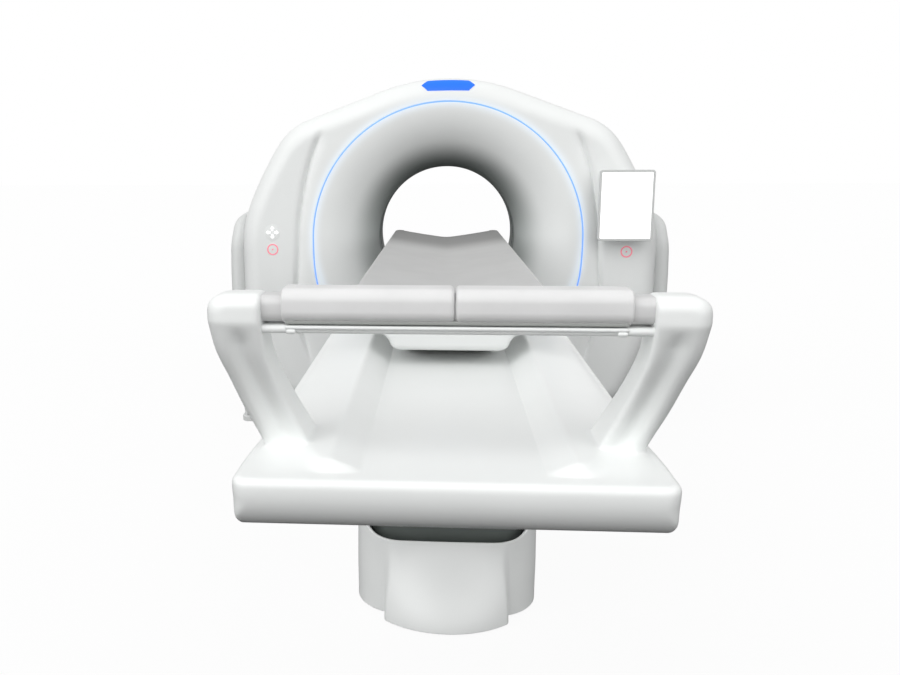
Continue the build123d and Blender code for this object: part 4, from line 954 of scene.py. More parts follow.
# Back-lit print on the touch keys: soft pink rings and white arrows without gloss
KEY_RED = Lamp(
    "printed_key_ring", "#EE8E9C", "#EA8896", low="#FF9AA8", high="#FF9AA8", strength=0.25
)
KEY_WHITE = Lamp(
    "printed_key_arrows", "#FFFFFF", "#FCFCFC", low="#FFFFFF", high="#FFFFFF", strength=0.35
)
# Cover glass over a white page: clean, bright, with a sharp gloss
SCREEN = Lamp(
    "glass_over_white_page", "#F6F6F6", "#F4F4F4", 0.08, 1.52, relief_mm=0.001,
    low="#FFFFFF", high="#FFFFFF", strength=0.7,
)
# Moulded ABS of the display: light grey frame that sets the page off
BEZEL = Finish("moulded_abs_bezel", "#CDCFCE", "#CACCCB", 0.38, grain_mm=1.5, relief_mm=0.01)
# Soft-touch elastomer over foam: light grey, dull, a fine tooth
GRIP = Finish(
    "soft_touch_elastomer", "#E5E5E5", "#E0E0E0", 0.5, cloud_mm=90.0, grain_mm=1.6, relief_mm=0.03
)
# Aluminium on the rail and sprayed on the bar, even satin greys: the rail's upper flange grey as painted
# shade under the grips
RAIL_TOP_PAINTED_SHADE = Finish("aluminium_rail_painted_shade", "#A9ACA9", "#A3A6A3", 0.45, grain_mm=1.2, relief_mm=0.01)
BAR = Finish("sprayed_aluminium_bar", "#D8D8D8", "#D4D4D4", 0.42, grain_mm=2.0, relief_mm=0.01)
# Carbon laminate under a grey gel coat: warm grey, with painted shade darkening it towards the tip in the
# bore
CRADLE = TipShadedLaminate(
    "gel_coated_carbon_laminate_painted_tip_shade", "#C9C9C8", "#C4C4C3", 0.4, 1.52,
    cloud_mm=160.0, grain_mm=5.0, relief_mm=0.015,
)
# Powder coat on steel, dull and slightly pebbled: graphite on the column and table frame as painted shade
# under the table, light on the frames
COLUMN_PAINTED_SHADE = Finish(
    "powder_coat_graphite_painted_shade", "#5E6461", "#575D5A", 0.55,
    grain_mm=1.8, relief_mm=0.05, grain=Grain.CAST,
)
FRAME = Finish(
    "powder_coated_steel", "#B4B8BA", "#ADB1B3", 0.55,
    grain_mm=1.8, relief_mm=0.05, grain=Grain.CAST,
)
# Moulded ABS of the duct and grilles: a tone darker than the covers
DUCT = Finish("moulded_abs_grey", "#C3C6C7", "#BEC1C2", 0.5, grain_mm=1.5, relief_mm=0.02)
# Ground steel of races, screw and rollers: bright, with streaks along the cut
STEEL = Finish(
    "ground_steel", "#BFC1C3", "#B5B7B9", 0.28, metallic=1.0,
    grain_mm=0.8, relief_mm=0.01, grain=Grain.BRUSHED,
)
# Sand-cast aluminium of the units and motors: soft, grainy metal
ALUMINIUM = Finish(
    "cast_aluminium", "#C9CBCD", "#BFC1C3", 0.42, metallic=1.0,
    grain_mm=1.5, relief_mm=0.06, grain=Grain.CAST,
)
# Polished copper tracks of the slip ring: warm mirror
COPPER = Finish("copper_tracks", "#C98B5E", "#B87C50", 0.25, metallic=1.0, relief_mm=0.005)
# Black nylon of the brush block and rubber of the belt: nearly no gloss
BLACK = Finish("moulded_nylon_black", "#2B2C2E", "#262729", 0.5, 1.53, grain_mm=1.2, relief_mm=0.02)
BELT = Finish("ribbed_belt_rubber", "#1B1B1C", "#171718", 0.7, 1.52, grain_mm=2.0, relief_mm=0.1)


class Wardrobe:
    """Finishes turned into materials once each, and put on pieces."""

    def __init__(self) -> None:
        """Starts with no material made."""
        self.made: dict[str, bpy.types.Material] = {}

    def material(self, finish: Finish) -> bpy.types.Material:
        """The material of a finish, made at its first use."""
        if finish.name not in self.made:
            self.made[finish.name] = finish.build()
        return self.made[finish.name]

    def dress(
        self, piece: bpy.types.Object, finish: Finish, slot: str, *nodes: str
    ) -> bpy.types.Object:
        """Puts a finish on a new piece and says which solids it stands for.

        Args:
            piece: the new piece.
            finish: its finish.
            slot: material slot of the record; not used.
            nodes: solids that it replaces.

        Returns:
            The piece.
        """
        piece.data.materials.append(self.material(finish))
        if nodes:
            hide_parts(*nodes)
        LOG.info("%s: %d faces, %s", piece.name, len(piece.data.polygons), finish.name)
        return piece

    def dress_solid(self, node: bpy.types.Object, finish: Finish) -> None:
        """Gives a solid that stays its finish."""
        for slot in node.material_slots:
            slot.material = self.material(finish)


@dataclass
class Gantry:
    """Covers, bore and lights of the tilting gantry."""

    wardrobe: Wardrobe
    axis_z: float = 1000.0
    front: float = 975.0
    rear: float = 1900.0
    front_seam: float = 1225.0
    rear_seam: float = 1625.0
    seam_gap: float = 3.0
    front_round: float = 100.0
    rear_round: float = 90.0
    wall: float = 10.0
    dome_top: float = 1785.0
    dome_radius: float = 950.0
    shoulder_slope: float = 20.1
    ring_outer: float = 673.2
    ring_inner: float = 666.2
    bore: float = 360.0
    mouth_depth: float = 330.0
    window_front: float = 1413.0
    window_rear: float = 1437.0
    throat_rear: float = 1575.0
    rear_mouth: float = 560.0
    crease_x: float = 749.0
    crease_upper_radius: float = 1250.0
    crease_lower_radius: float = 3000.0
    crease_shift: float = 8.0
    crease_depth: float = 22.0
    crease_core: float = 9.0
    crease_shoulder: float = 34.0
    key_height: float = 0.6
    sag_share: float = 0.085
    sag_depth: float = 520.0
    around: int = 560
    fascia_rows: int = 63
    back_rows: int = 21

    def outline(self) -> Array:
        """Front view of the skin as a closed clockwise loop of X and Z.

        A dome arc, the sloping shoulder and seven tangent arcs down to the belly make the right
        half; the left half is its mirror image.

        Returns:
            The loop at equal steps, starting at the crown.
        """
        slope = math.radians(self.shoulder_slope)
        dome_end = (
            self.dome_radius * math.sin(slope),
            self.dome_top - self.dome_radius * (1 - math.cos(slope)),
        )
        stops = (
            dome_end, (700.0, 1590.0), (850.0, 1470.0), (1000.0, 1185.0), (1048.0, 930.0),
            (1046.0, 700.0), (1008.0, 469.0), (905.0, 215.0), (803.0, 150.0),
        )
        right = tangent_chain(np.array([0.0, self.dome_top]), np.array([1.0, 0.0]), stops)
        right = np.vstack([right, np.linspace(right[-1], (0.0, 150.0), 60)[1:]])
        left = right[1:-1][::-1] * (-1.0, 1.0)
        return resampled(np.vstack([right, left]), self.around, 16.0)

    def crease(self, x: Array, z: Array) -> Array:
        """Depth of the soft crease between fascia and cheeks.

        The crease line is an arc above the bore axis and a flatter one below it. Across it the
        depth is the sum of a narrow bell and a wide one, which reaches further on the fascia's
        side; along it the depth eases in from both ends.

        Args:
            x: place across.
            z: height.

        Returns:
            Depth to move the skin back by.
        """
        up = z - self.axis_z
        radius = np.where(up > 0, self.crease_upper_radius, self.crease_lower_radius)
        line = self.crease_x - radius + np.sqrt(np.maximum(radius**2 - up**2, 0.0))
        line = line - self.crease_shift * ease(up / 200.0)
        lean = np.abs(up) / radius
        away = (np.abs(x) - line) * np.sqrt(np.maximum(1 - lean**2, 0.0))
        spread = 1.0 + 0.6 * ease((up - 380.0) / 190.0)
        wide = np.where(away > 0, 0.5, 1.0) * self.crease_shoulder
        bell = 0.55 * np.exp(-((away / (self.crease_core * spread)) ** 2))
        bell = bell + 0.45 * np.exp(-((away / wide) ** 2))
        fade = ease((562.0 - up) / 120.0) * ease((up + 660.0) / 160.0)
        return self.crease_depth * bell * fade

    def widen(self, x: Array, z: Array) -> Array:
        """Place across after the opening is widened below the axis.

        The share grows from nothing at the axis to its full size at a depth, as a smooth step.

        Args:
            x: place across on the round opening.
            z: height.

        Returns:
            The new place across.
        """
        radius = np.hypot(x, z - self.axis_z)
        hold = ease((radius - self.bore) / (self.ring_inner - self.bore))
        hold = hold * ease((1000.0 - radius) / 325.0)
        return x * (1.0 + self.sag_share * hold * ease((self.axis_z - z) / self.sag_depth))

    def skin(self, loop: Array, inset: Array, along: Array) -> Array:
        """Rows of the skin: the loop moved in by an inset at a place along Y.

        Args:
            loop: outline.
            inset: distance moved in, one per row.
            along: Y, one per row.

        Returns:
            Net of points.
        """
        flat = loop[None] + inset[:, None, None] * inward(loop)[None]
        y = np.broadcast_to(along[:, None], flat.shape[:2])
        return np.stack([flat[..., 0], y, flat[..., 1]], axis=-1)

    def flat_face(self, edge: Array, rim: float, y: float, rows: int) -> tuple[Array, Array]:
        """Rows of a flat face from the edge of the skin in to a circle about the bore axis.

        Args:
            edge: last row of the skin.
            rim: radius of the circle.
            y: place of the face.
            rows: number of rows.

        Returns:
            Net of points, and the unit spokes of the circle.
        """
        spoke = edge[:, [0, 2]] - (0.0, self.axis_z)
        unit = spoke / np.hypot(spoke[:, 0], spoke[:, 1])[:, None]
        share = np.linspace(0.0, 1.0, rows + 1)[1:, None, None]
        flat = spoke[None] * (1 - share) + unit[None] * rim * share
        net = np.stack([flat[..., 0], np.full(flat.shape[:2], y), flat[..., 1] + self.axis_z], axis=-1)
        return net, unit

    def front_cover(self) -> bpy.types.Object:
        """Front moulding: side, rounded edge, fascia with its creases, and the hole for the ring."""
        loop = self.outline()
        turn = np.linspace(0.0, math.pi / 2, 15)[1:]
        start = self.front + self.front_round
        inset = np.concatenate([np.zeros(6), self.front_round * (1 - np.cos(turn))])
        along = np.concatenate(
            [
                np.linspace(self.front_seam - self.seam_gap / 2, start, 6),
                start - self.front_round * np.sin(turn),
            ]
        )
        side = self.skin(loop, inset, along)
        rim = self.ring_outer + 1.8
        fascia, unit = self.flat_face(side[-1], rim, self.front, self.fascia_rows)
        lips = []
        for less, back in ((0.9, 0.25), (1.4, 0.9), (1.5, 2.0), (1.5, 14.0)):
            circle = unit * (rim - less)
            lips.append(
                np.stack(
                    [circle[:, 0], np.full(len(circle), self.front + back), circle[:, 1] + self.axis_z],
                    axis=-1,
                )
            )
        net = np.concatenate([side, fascia, np.array(lips)])
        depth = self.crease(net[..., 0], net[..., 2])
        net[..., 0] = self.widen(net[..., 0], net[..., 2])
        facing = ease((self.front + self.front_round - net[..., 1]) / (0.7 * self.front_round))
        net[..., 1] += depth * facing
        piece = loft("front_shell", net, Body.GANTRY, caps=(False, False), flip=True, sharp=50)
        thicken(piece, self.wall)
        return self.wardrobe.dress(piece, FASCIA, "shell_white", "front_cover")

    def side_cover(self, side: Side) -> bpy.types.Object:
        """One half of the band of skin between the two seams.

        Args:
            side: half to build.

        Returns:
            The new piece.
        """
        loop = self.outline()
        half = self.around // 2
        order = np.arange(0, half + 1) if side is Side.RIGHT else np.arange(half, self.around + 1)
        part = loop[order % self.around]
        normal = inward(loop)[order % self.around]
        part = part.copy()
        part[[0, -1], 0] += side.value * self.seam_gap / 2
        rows = np.array(
            [
                (self.wall, self.front_seam + 1.5), (1.5, self.front_seam + 1.5),
                (0.0, self.front_seam + 3.0), (0.0, self.front_seam + 40.0),
                (0.0, self.rear_seam - 40.0), (0.0, self.rear_seam - 3.0),
                (1.5, self.rear_seam - 1.5), (self.wall, self.rear_seam - 1.5),
            ]
        )
        flat = part[None] + rows[:, 0][:, None, None] * normal[None]
        y = np.broadcast_to(rows[:, 1][:, None], flat.shape[:2])
        net = np.stack([flat[..., 0], y, flat[..., 1]], axis=-1)
        net = np.transpose(net, (1, 0, 2))
        piece = loft(f"side_shell_{side.name.lower()}", net, Body.GANTRY)
        mend_normals(piece)
        return self.wardrobe.dress(piece, SHELL, "shell_white", f"side_cover_{side.name.lower()}")

    def rear_cover(self) -> bpy.types.Object:
        """Rear moulding with its rounded edge, the rear hole and two grille openings."""
        loop = self.outline()
        turn = np.linspace(0.0, math.pi / 2, 13)[1:]
        start = self.rear - self.rear_round
        inset = np.concatenate([np.zeros(5), self.rear_round * (1 - np.cos(turn))])
        along = np.concatenate(
            [
                np.linspace(self.rear_seam + self.seam_gap / 2, start, 5),
                start + self.rear_round * np.sin(turn),
            ]
        )
        side = self.skin(loop, inset, along)
        back, _ = self.flat_face(side[-1], self.rear_mouth + 1.5, self.rear, self.back_rows)
        lip = back[-1:].copy()
        lip[..., 1] -= 12.0
        net = np.concatenate([side, back, lip])
        piece = loft("rear_shell", net, Body.GANTRY, caps=(False, False), sharp=50)
        thicken(piece, self.wall)
        self.cut_grilles(piece)
        return self.wardrobe.dress(piece, SHELL, "shell_white", "rear_cover")

    def cut_grilles(self, shell: bpy.types.Object) -> None:
        """Cuts the two grille openings out of the rear shell."""
        for node in ("rear_grille_right", "rear_grille_left"):
            low, high = box_mm(node)
            middle, half = (low + high) / 2, (high - low) / 2
            opening = rounded_loop(half[0] + 0.8, half[2] + 0.8, 12.8, 6) + middle[[0, 2]]
            cut_away(shell, opening, self.rear - 60.0, self.rear + 20.0)
        shell.data.set_sharp_from_angle(angle=math.radians(50))

    def mouths(self) -> None:
        """Bell mouths, liners and the ring of light, turned about the bore axis."""
        turn = np.linspace(0.0, math.pi / 2, 40)
        throat = self.front + self.mouth_depth
        reach = self.ring_inner - self.bore
        front_face = np.stack(
            [self.ring_inner - reach * np.sin(turn), throat - self.mouth_depth * np.cos(turn)], axis=1
        )
        back = front_face[::-1] + (6.0, 4.0)
        back[0] = (self.bore + 8.0, throat)
        front_face[0] = (self.ring_inner - 0.8, self.front)
        rim = np.array([(self.ring_inner, self.front + 0.8), (self.ring_inner, self.front + 12.0)])
        profile = np.vstack([front_face, back, rim[::-1]])
        piece = turned("front_mouth", profile, self.axis_z, Body.GANTRY, 256, 0.0, self.widen)
        self.wardrobe.dress(piece, MOUTH, "shell_white", "front_funnel")

        depth = self.rear - 2.0 - self.throat_rear
        reach = self.rear_mouth - self.bore
        rear_face = np.stack(
            [self.bore + reach * (1 - np.cos(turn)), self.throat_rear + depth * np.sin(turn)], axis=1
        )
        back = rear_face[::-1] + (8.0, -6.0)
        back[-1] = (self.bore + 8.0, self.throat_rear)
        piece = turned("rear_mouth", np.vstack([rear_face, back]), self.axis_z, Body.GANTRY, 256)
        self.wardrobe.dress(piece, MOUTH, "shell_white", "rear_funnel")

        for name, near, far, node in (
            ("front_bore", throat + 1.0, self.window_front - 1.0, "front_liner"),
            ("rear_bore", self.window_rear + 1.0, self.throat_rear - 1.0, "rear_liner"),
        ):
            ring = np.array(
                [
                    (self.bore + 1.0, near), (self.bore, near + 1.0), (self.bore, far - 1.0),
                    (self.bore + 1.0, far), (self.bore + 9.0, far), (self.bore + 9.0, near),
                ]
            )
            piece = turned(name, ring, self.axis_z, Body.GANTRY, 192)
            self.wardrobe.dress(piece, LINER, "liner_grey", node)

        middle = (self.ring_inner + self.ring_outer) / 2
        half = (self.ring_outer - self.ring_inner) / 2 - 0.3
        arc = np.linspace(-math.pi / 2, math.pi / 2, 9)
        crown = np.stack([middle + half * np.sin(arc), self.front + 1.0 - 2.0 * np.cos(arc)], axis=1)
        foot = np.array([(middle + half, self.front + 9.0), (middle - half, self.front + 9.0)])
        section = np.vstack([crown, foot])
        piece = turned("ring_of_light", section, self.axis_z, Body.GANTRY, 320, 0.0, self.widen)
        self.wardrobe.dress(piece, RING, "light_blue", "light_ring")

    def key(self, node: str, body: Body, arrows: bool) -> None:
        """Touch key with its printed sign: a ring and a dot, or four arrows.

        Args:
            node: solid that the key stands for.
            body: body that carries it.
            arrows: whether the sign is the four arrows.
        """
        low, high = box_mm(node)
        centre, radius, face = (low + high) / 2, (high[0] - low[0]) / 2, self.front - self.key_height
        edge = np.linspace(0.0, math.pi / 2, 5)
        round_edge = self.key_height
        cap = np.stack(
            [
                radius - round_edge * (1 - np.cos(edge)),
                face + round_edge * (1 - np.sin(edge)),
            ],
            axis=1,
        )
        profile = np.vstack([[(radius, high[1])], cap, [(0.4, face), (0.4, high[1])]])
        piece = turned(f"{node}_cap", profile, centre[2], body, 72, centre[0])
        self.wardrobe.dress(piece, SHELL, "key_plastic", node)
        signs, half_sign = [], 0.5
        if arrows:
            shape = np.array(
                [(0, 33), (12.5, 20), (5.5, 20), (5.5, 8.5), (-5.5, 8.5), (-5.5, 20), (-12.5, 20)]
            )
            for quarter in range(4):
                turn = math.radians(90 * quarter)
                spin = np.array([[math.cos(turn), math.sin(turn)], [-math.sin(turn), math.cos(turn)]])
                signs.append(shape @ spin)
        else:
            signs.append(rounded_loop(4.5, 4.5, 4.5, 5))
        for count, sign in enumerate(signs):
            mark = prism(
                f"{node}_sign_{count}", sign + centre[[0, 2]], face - half_sign, face + half_sign, body
            )
            self.wardrobe.dress(mark, KEY_WHITE if arrows else KEY_RED, "key_plastic")
        if not arrows:
            ring = np.array(
                [
                    (radius - 9.0, face + 0.4), (radius - 9.0, face - 0.3), (radius - 8.6, face - 0.4),
                    (radius - 2.4, face - 0.4), (radius - 2.0, face - 0.3), (radius - 2.0, face + 0.4),
                ]
            )
            mark = turned(f"{node}_ring", ring, centre[2], body, 96, centre[0])
            self.wardrobe.dress(mark, KEY_RED, "key_plastic")

    def build(self) -> None:
        """Builds every piece of the gantry."""
        self.front_cover()
        self.side_cover(Side.RIGHT)
        self.side_cover(Side.LEFT)
        self.rear_cover()
        self.mouths()
        self.key("move_key", Body.MOVE_KEY, True)
        self.key("stop_key_left", Body.STOP_LEFT, False)
        self.key("stop_key_right", Body.STOP_RIGHT, False)


@dataclass
class Tablet:
    """Display on the right-hand cheek."""

    wardrobe: Wardrobe
    bezel: float = 11.0
    corner: float = 14.0
    hinge_back: float = 13.0
    knuckle_radius: float = 10.0
    knuckle_half: float = 24.0
    neck_half: float = 22.0

    def build(self) -> None:
        """Housing with rounded edges, and the lit page under its glass."""
        low, high = box_mm("tablet_housing")
        half_x = (high[0] - low[0]) / 2
        half_z = (high[2] - low[2]) / 2
        centre_x, centre_z = (low[0] + high[0]) / 2, (low[2] + high[2]) / 2
        place = along_y(centre_x, centre_z)
        loop = rounded_loop(half_x, half_z, self.corner)
        back = low[1] + 22.0
        body = pillow("tablet_case", loop, place, low[1], back, 2.5, 7.0, Body.TABLET)
        self.wardrobe.dress(body, BEZEL, "tablet_plastic", "tablet_housing")
        across = along_x(box_mm("tablet_bracket")[0][1] + self.hinge_back, centre_z)
        turn = np.linspace(0.0, 2 * math.pi, 40, endpoint=False)
        knuckle = self.knuckle_radius * np.stack([np.cos(turn), np.sin(turn)], axis=1)
        neck = rounded_loop(11.0, 9.0, 3.0, 4) + (-9.0, 0.0)
        for name, section, half in (
            ("tablet_knuckle", knuckle, self.knuckle_half), ("tablet_neck", neck, self.neck_half),
        ):
            link = pillow(
                name, section, across, centre_x - half, centre_x + half, 1.0, 1.0, Body.TABLET
            )
            self.wardrobe.dress(link, BEZEL, "tablet_plastic")
        page = rounded_loop(half_x - self.bezel, half_z - self.bezel - 1.0, 4.0)
        glass = pillow("tablet_page", page, place, low[1] - 0.4, low[1] + 1.0, 0.3, 0.1, Body.TABLET, 2)
        self.wardrobe.dress(glass, SCREEN, "screen_glass", "tablet_screen")


@dataclass
class Stand:
    """Slim pillar with a rounded cover that carries one trunnion."""

    wardrobe: Wardrobe
    side: Side
    inner: float = 1062.0
    tilt_y: float = 1425.0
    foot_z: float = 30.0

    def build(self) -> None:
        """Cover as the common part of its front view and its side view, all edges rounded.

        The front view is bounded by the flat inner face and an outer curve over the height; the
        side view by a half depth that narrows upwards and closes in a dome.
        """

        def field(x: Array, y: Array, z: Array) -> Array:
            """Field of the cover, negative inside."""
            heights = (30, 300, 600, 850, 1000, 1093, 1132)
            out = through(z, heights, (1090, 1122, 1150, 1160, 1155, 1135, 1095))
            front_view = meet(x - out, self.inner - x, 4.0)
            half = through(z, (30, 400, 750, 960), (310, 269, 229, 205))
            over = np.hypot((z - 901.2) * 0.91, y - self.tilt_y) - 210.0
            side_view = np.where(z > 930.0, over, np.abs(y - self.tilt_y) - half)
            shape = meet(front_view, side_view, 46.0)
            inner_edge = meet(self.inner - x, side_view, 6.0)
            return np.maximum(np.maximum(shape, inner_edge), self.foot_z - z)

        low, high = (1050.0, 1100.0, 20.0), (1190.0, 1750.0, 1145.0)
        name = f"stand_shell_{self.side.name.lower()}"
        piece = field_shell(name, field, low, high, 7.0, Body.BASE)
        if self.side is Side.LEFT:
            piece.data.transform(Matrix.Scale(-1.0, 4, (1.0, 0.0, 0.0)))
            mend_normals(piece)
        piece.data.set_sharp_from_angle(angle=math.radians(50))
        self.wardrobe.dress(piece, STAND_SHELL_PAINTED_SHADE, "shell_white", f"stand_cover_{self.side.name.lower()}")


@dataclass
class Pedestal:
    """Cover of the table's foot, with the bowed nose and the scooped rim."""

    wardrobe: Wardrobe
    half: float = 283.0
    front: float = -915.0
    rear: float = 215.0
    corner: float = 150.0
    nose_front: float = -1028.0
    nose_radius: float = 279.0
    nose_half: float = 188.0
    nose_top: float = 262.0
    foot: float = 4.0
    top: float = 450.0
    scoop_bottom: float = 246.0
    scoop_reach: float = 150.0
    wall: float = 9.0
    around: int = 420
    rows: int = 46

    def build(self) -> None:
        """Wall whose plan is the softened union of a rounded rectangle and a nose circle.

        Both plans are radii about a pole as functions of the angle. What the nose adds to the
        plain plan shrinks to nothing at the scoop, and the softness of the union grows with
        the height, so a crease shows at the floor only. The rim rises from the front as the
        square of the distance back.
        """
        pole = np.array([0.0, -560.0])
        middle = (self.front + self.rear) / 2
        body = rounded_loop(self.half, (self.rear - self.front) / 2, self.corner, 40) + (0.0, middle)
        nose_turn = np.linspace(0.0, 2 * math.pi, 400, endpoint=False)
        nose = np.stack(
            [
                np.clip(self.nose_radius * np.cos(nose_turn), -self.nose_half, self.nose_half),
                self.nose_front + self.nose_radius * (1 + np.sin(nose_turn)),
            ],
            axis=1,
        )
        angle = np.linspace(-math.pi, math.pi, self.around, endpoint=False)

        def radii(loop: Array) -> Array:
            """Distance from the pole to the loop at every angle."""
            dense = resampled(loop, 4000) - pole
            bearing = np.arctan2(dense[:, 0], -dense[:, 1])
            order = np.argsort(bearing)
            return np.interp(angle, bearing[order], np.hypot(*dense.T)[order], period=2 * math.pi)

        body_r, nose_r = radii(body), radii(nose)
        back = pole[1] - np.cos(angle) * body_r - self.front
        rise = np.clip(back / self.scoop_reach, 0.0, 1.0) ** 2
        rim = self.scoop_bottom + (self.top - self.scoop_bottom) * rise
        share = np.linspace(0.0, 1.0, self.rows)[:, None]
        z = self.foot + share * (rim[None] - self.foot)
        soft = 10.0 + 60.0 * ease((z - 20.0) / 200.0)
        left = 1.0 - ease((z - self.foot) / (self.nose_top - self.foot))
        added = (nose_r - body_r)[None]
        added = 0.5 * (added + np.hypot(added, soft)) - 0.5 * soft * np.exp(-np.abs(added) / soft)
        front_half = ease(np.cos(angle) * 4.0)[None]
        radius = body_r[None] + added * left * front_half
        net = np.stack(
            [
                pole[0] + radius * np.sin(angle),
                pole[1] - radius * np.cos(angle),
                z,
            ],
            axis=-1,
        )
        piece = loft("pedestal_shell", net, Body.BASE, caps=(False, False), sharp=60)
        thicken(piece, self.wall)
        soften_edges(piece, 3.0, 3, 50.0)
        self.wardrobe.dress(piece, SHELL, "shell_white", "pedestal_cover")


@dataclass
class Table:
    """Foot end with its arms, deck with its rails, bar with its grips, and skirt."""

    wardrobe: Wardrobe
    deck_z: float = 804.0
    deck_half: float = 404.0
    deck_rear: float = 615.0
    deck_bottom: float = 722.0
    plate_front: float = -1900.0
    plate_rear: float = -1475.0
    plate_bottom: float = 685.0
    plate_corner: float = 34.0
    edge_round: float = 14.0
    nose_round: float = 105.0
    side_round: float = 12.0
    foot_flare: float = 8.0
    channel_half: float = 173.0
    ridge_x: float = 234.0
    ridge_height: float = 50.0
    ridge_front_height: float = 21.0
    ridge_front_y: float = -1852.0
    ridge_full_y: float = -725.0
    ridge_foot_x: float = 386.0
    elbow_inner: float = 350.0
    elbow_top: float = 1142.0
    elbow_round: float = 34.0
    arm_corner: float = 36.0
    arm_inner_corner: float = 9.0
    arm_foot: float = 740.0
    arm_fillet: float = 9.0
    arm_dent: float = 13.0
    bar_y: float = -1825.0
    bar_low: float = 1089.5
    bar_high: float = 1138.5
    tube_low: float = 1069.5
    tube_high: float = 1085.0
    rail_half: float = 306.0
    skirt_wall: float = 8.0
    column_half: float = 223.0
    column_y: tuple[float, float] = (-825.0, 155.0)

    def rail(self, x: Array, y: Array) -> Array:
        """Height of the top skin above the deck.

        Across, the ridge rises steeply from the channel, crests and falls along a bow to its
        outer foot; along, it grows from the foot end to its full height.

        Args:
            x: place across, either side.
            y: place along.

        Returns:
            Height above the deck.
        """
        table_x = np.arange(0.0, 421.0, 1.0)
        inner = np.interp(table_x, (self.channel_half, self.ridge_x - 4), (0.0, 1.0))
        outer = np.sqrt(np.clip((self.ridge_foot_x - table_x) / (self.ridge_foot_x - self.ridge_x), 0, 1))
        bow = 0.55 * outer + 0.45 * outer**2
        sharp = np.where(table_x < self.ridge_x - 2, inner, np.minimum(bow, 1.0))
        bell = np.exp(-0.5 * (np.arange(-16, 17) / 4.5) ** 2)
        soft = np.convolve(np.pad(sharp, 16, mode="edge"), bell / bell.sum(), mode="valid")
        shape = sharp + (soft - sharp) * ease((table_x - self.channel_half - 8.0) / 22.0)
        share = np.clip((y - self.ridge_front_y) / (self.ridge_full_y - self.ridge_front_y), 0.0, 1.0)
        height = self.ridge_front_height + share * (self.ridge_height - self.ridge_front_height)
        ramp = 30.0 + 100.0 * ease((np.abs(x) - self.ridge_x - 4.0) / 60.0)
        height = height * ease((y - self.ridge_front_y + 6.0) / ramp)
        height = height * ease((self.deck_rear - 14.0 - y) / 40.0)
        return height * np.interp(np.abs(x), table_x, shape)

    def plate_field(self, x: Array, y: Array, z: Array) -> Array:
        """Field of the foot plate, negative inside.

        The plate is a section in Y and Z carried across: a front that turns under along a large
        radius, and the underside. Its ends are flat, with a radius that is large above and small
        at the underside; the top skin cuts it off with a rounded edge. Towards the deck the
        underside rises.

        Args:
            x: place across, right side.
            y: place along.
            z: height.

        Returns:
            The field's value.
        """
        back = ease((y - self.plate_rear + 190.0) / 170.0)
        bottom = self.plate_bottom + back * (self.deck_bottom - self.plate_bottom)
        section = meet(self.plate_front - y, bottom - z, self.nose_round)
        above = ease((z - self.plate_bottom - 28.0) / 50.0)
        corner = self.side_round + above * (self.plate_corner - self.side_round)
        flare = self.foot_flare * ease((-1560.0 - y) / 220.0)
        body = meet(section, x - self.deck_half - flare, corner)
        return meet(body, (z - self.deck_z - self.rail(x, y)) * 0.97, self.edge_round)

    def arm_field(self, x: Array, y: Array, z: Array) -> Array:
        """Field of an arm with its elbow, negative inside.

        The arm's centre and half sizes follow smooth curves over the height. Its depth and its
        outer side each round over into the crown; the two meet in a corner radius, which lowers
        the crown by its share, so the crown starts higher by that. The inner side is crisp. A
        shallow valley with a bell-shaped section runs down the front from under the elbow.

        Args:
            x: place across, right side.
            y: place along.
            z: height.

        Returns:
            The field's value, scaled by the arm's lean.
        """
        knots = (780.0, 850.0, 900.0, 969.0, 1030.0, 1090.0)
        centre_x = through(z, knots, (325.0, 346.0, 362.0, 381.0, 396.0, 401.5))
        centre_y = through(z, knots, (-1647.0, -1693.0, -1727.0, -1771.0, -1804.0, self.bar_y))
        half_x = through(z, knots, (50.0, 50.0, 49.5, 48.0, 49.5, 51.5))
        half_y = through(z, knots, (64.0, 57.0, 52.0, 47.0, 46.0, 48.0))
        dent = self.arm_dent * np.exp(-(((x - centre_x + 9.0) / 17.0) ** 2))
        dent = dent * ease((1088.0 - z) / 45.0) * ease((z - 795.0) / 60.0)
        corner = self.arm_corner
        crown = z - self.elbow_top - (1.0 - math.sqrt(0.5)) * corner
        depth = np.maximum(centre_y - half_y + dent - y, y - centre_y - half_y)
        depth = meet(depth, crown, self.elbow_round)
        flank = meet(x - centre_x - half_x, crown, self.elbow_round + 12.0)
        arm = meet(meet(depth, flank, corner), centre_x - half_x - x, self.arm_inner_corner)
        return arm * through(z, knots, (0.78, 0.79, 0.8, 0.86, 0.95, 1.0))

    def foot_field(self, x: Array, y: Array, z: Array) -> Array:
        """Plate and arms welded with a soft fillet, ended a little behind the seam."""
        across = np.abs(x)
        arm = meet(self.arm_field(across, y, z), self.arm_foot - z, 4.0)
        shape = weld(self.plate_field(across, y, z), arm, self.arm_fillet)
        return np.maximum(shape, y - self.plate_rear - 15.0)

    def foot_end(self) -> None:
        """Foot-end moulding from its field."""
        low = (-460.0, -1906.0, 678.0)
        high = (460.0, -1450.0, 1150.0)
        piece = field_shell("foot_moulding", self.foot_field, low, high, 5.5, Body.TABLE)
        block = np.array([(-600.0, 600.0), (600.0, 600.0), (600.0, 900.0), (-600.0, 900.0)])
        cut_away(piece, block, self.plate_rear, self.plate_rear + 100.0)
        faces = piece.data.polygons
        normals = np.empty(len(faces) * 3)
        centres = np.empty(len(faces) * 3)
        faces.foreach_get("normal", normals)
        faces.foreach_get("center", centres)
        at_seam = np.abs(centres[1::3] - self.plate_rear * METRE) < 1e-5
        faces.foreach_set("use_smooth", ~(at_seam & (normals[1::3] > 0.9)))
        piece.data.set_sharp_from_angle(angle=math.radians(55))
        self.wardrobe.dress(piece, TABLE_SHELL_PAINTED_LIGHT, "shell_white", "foot_end")

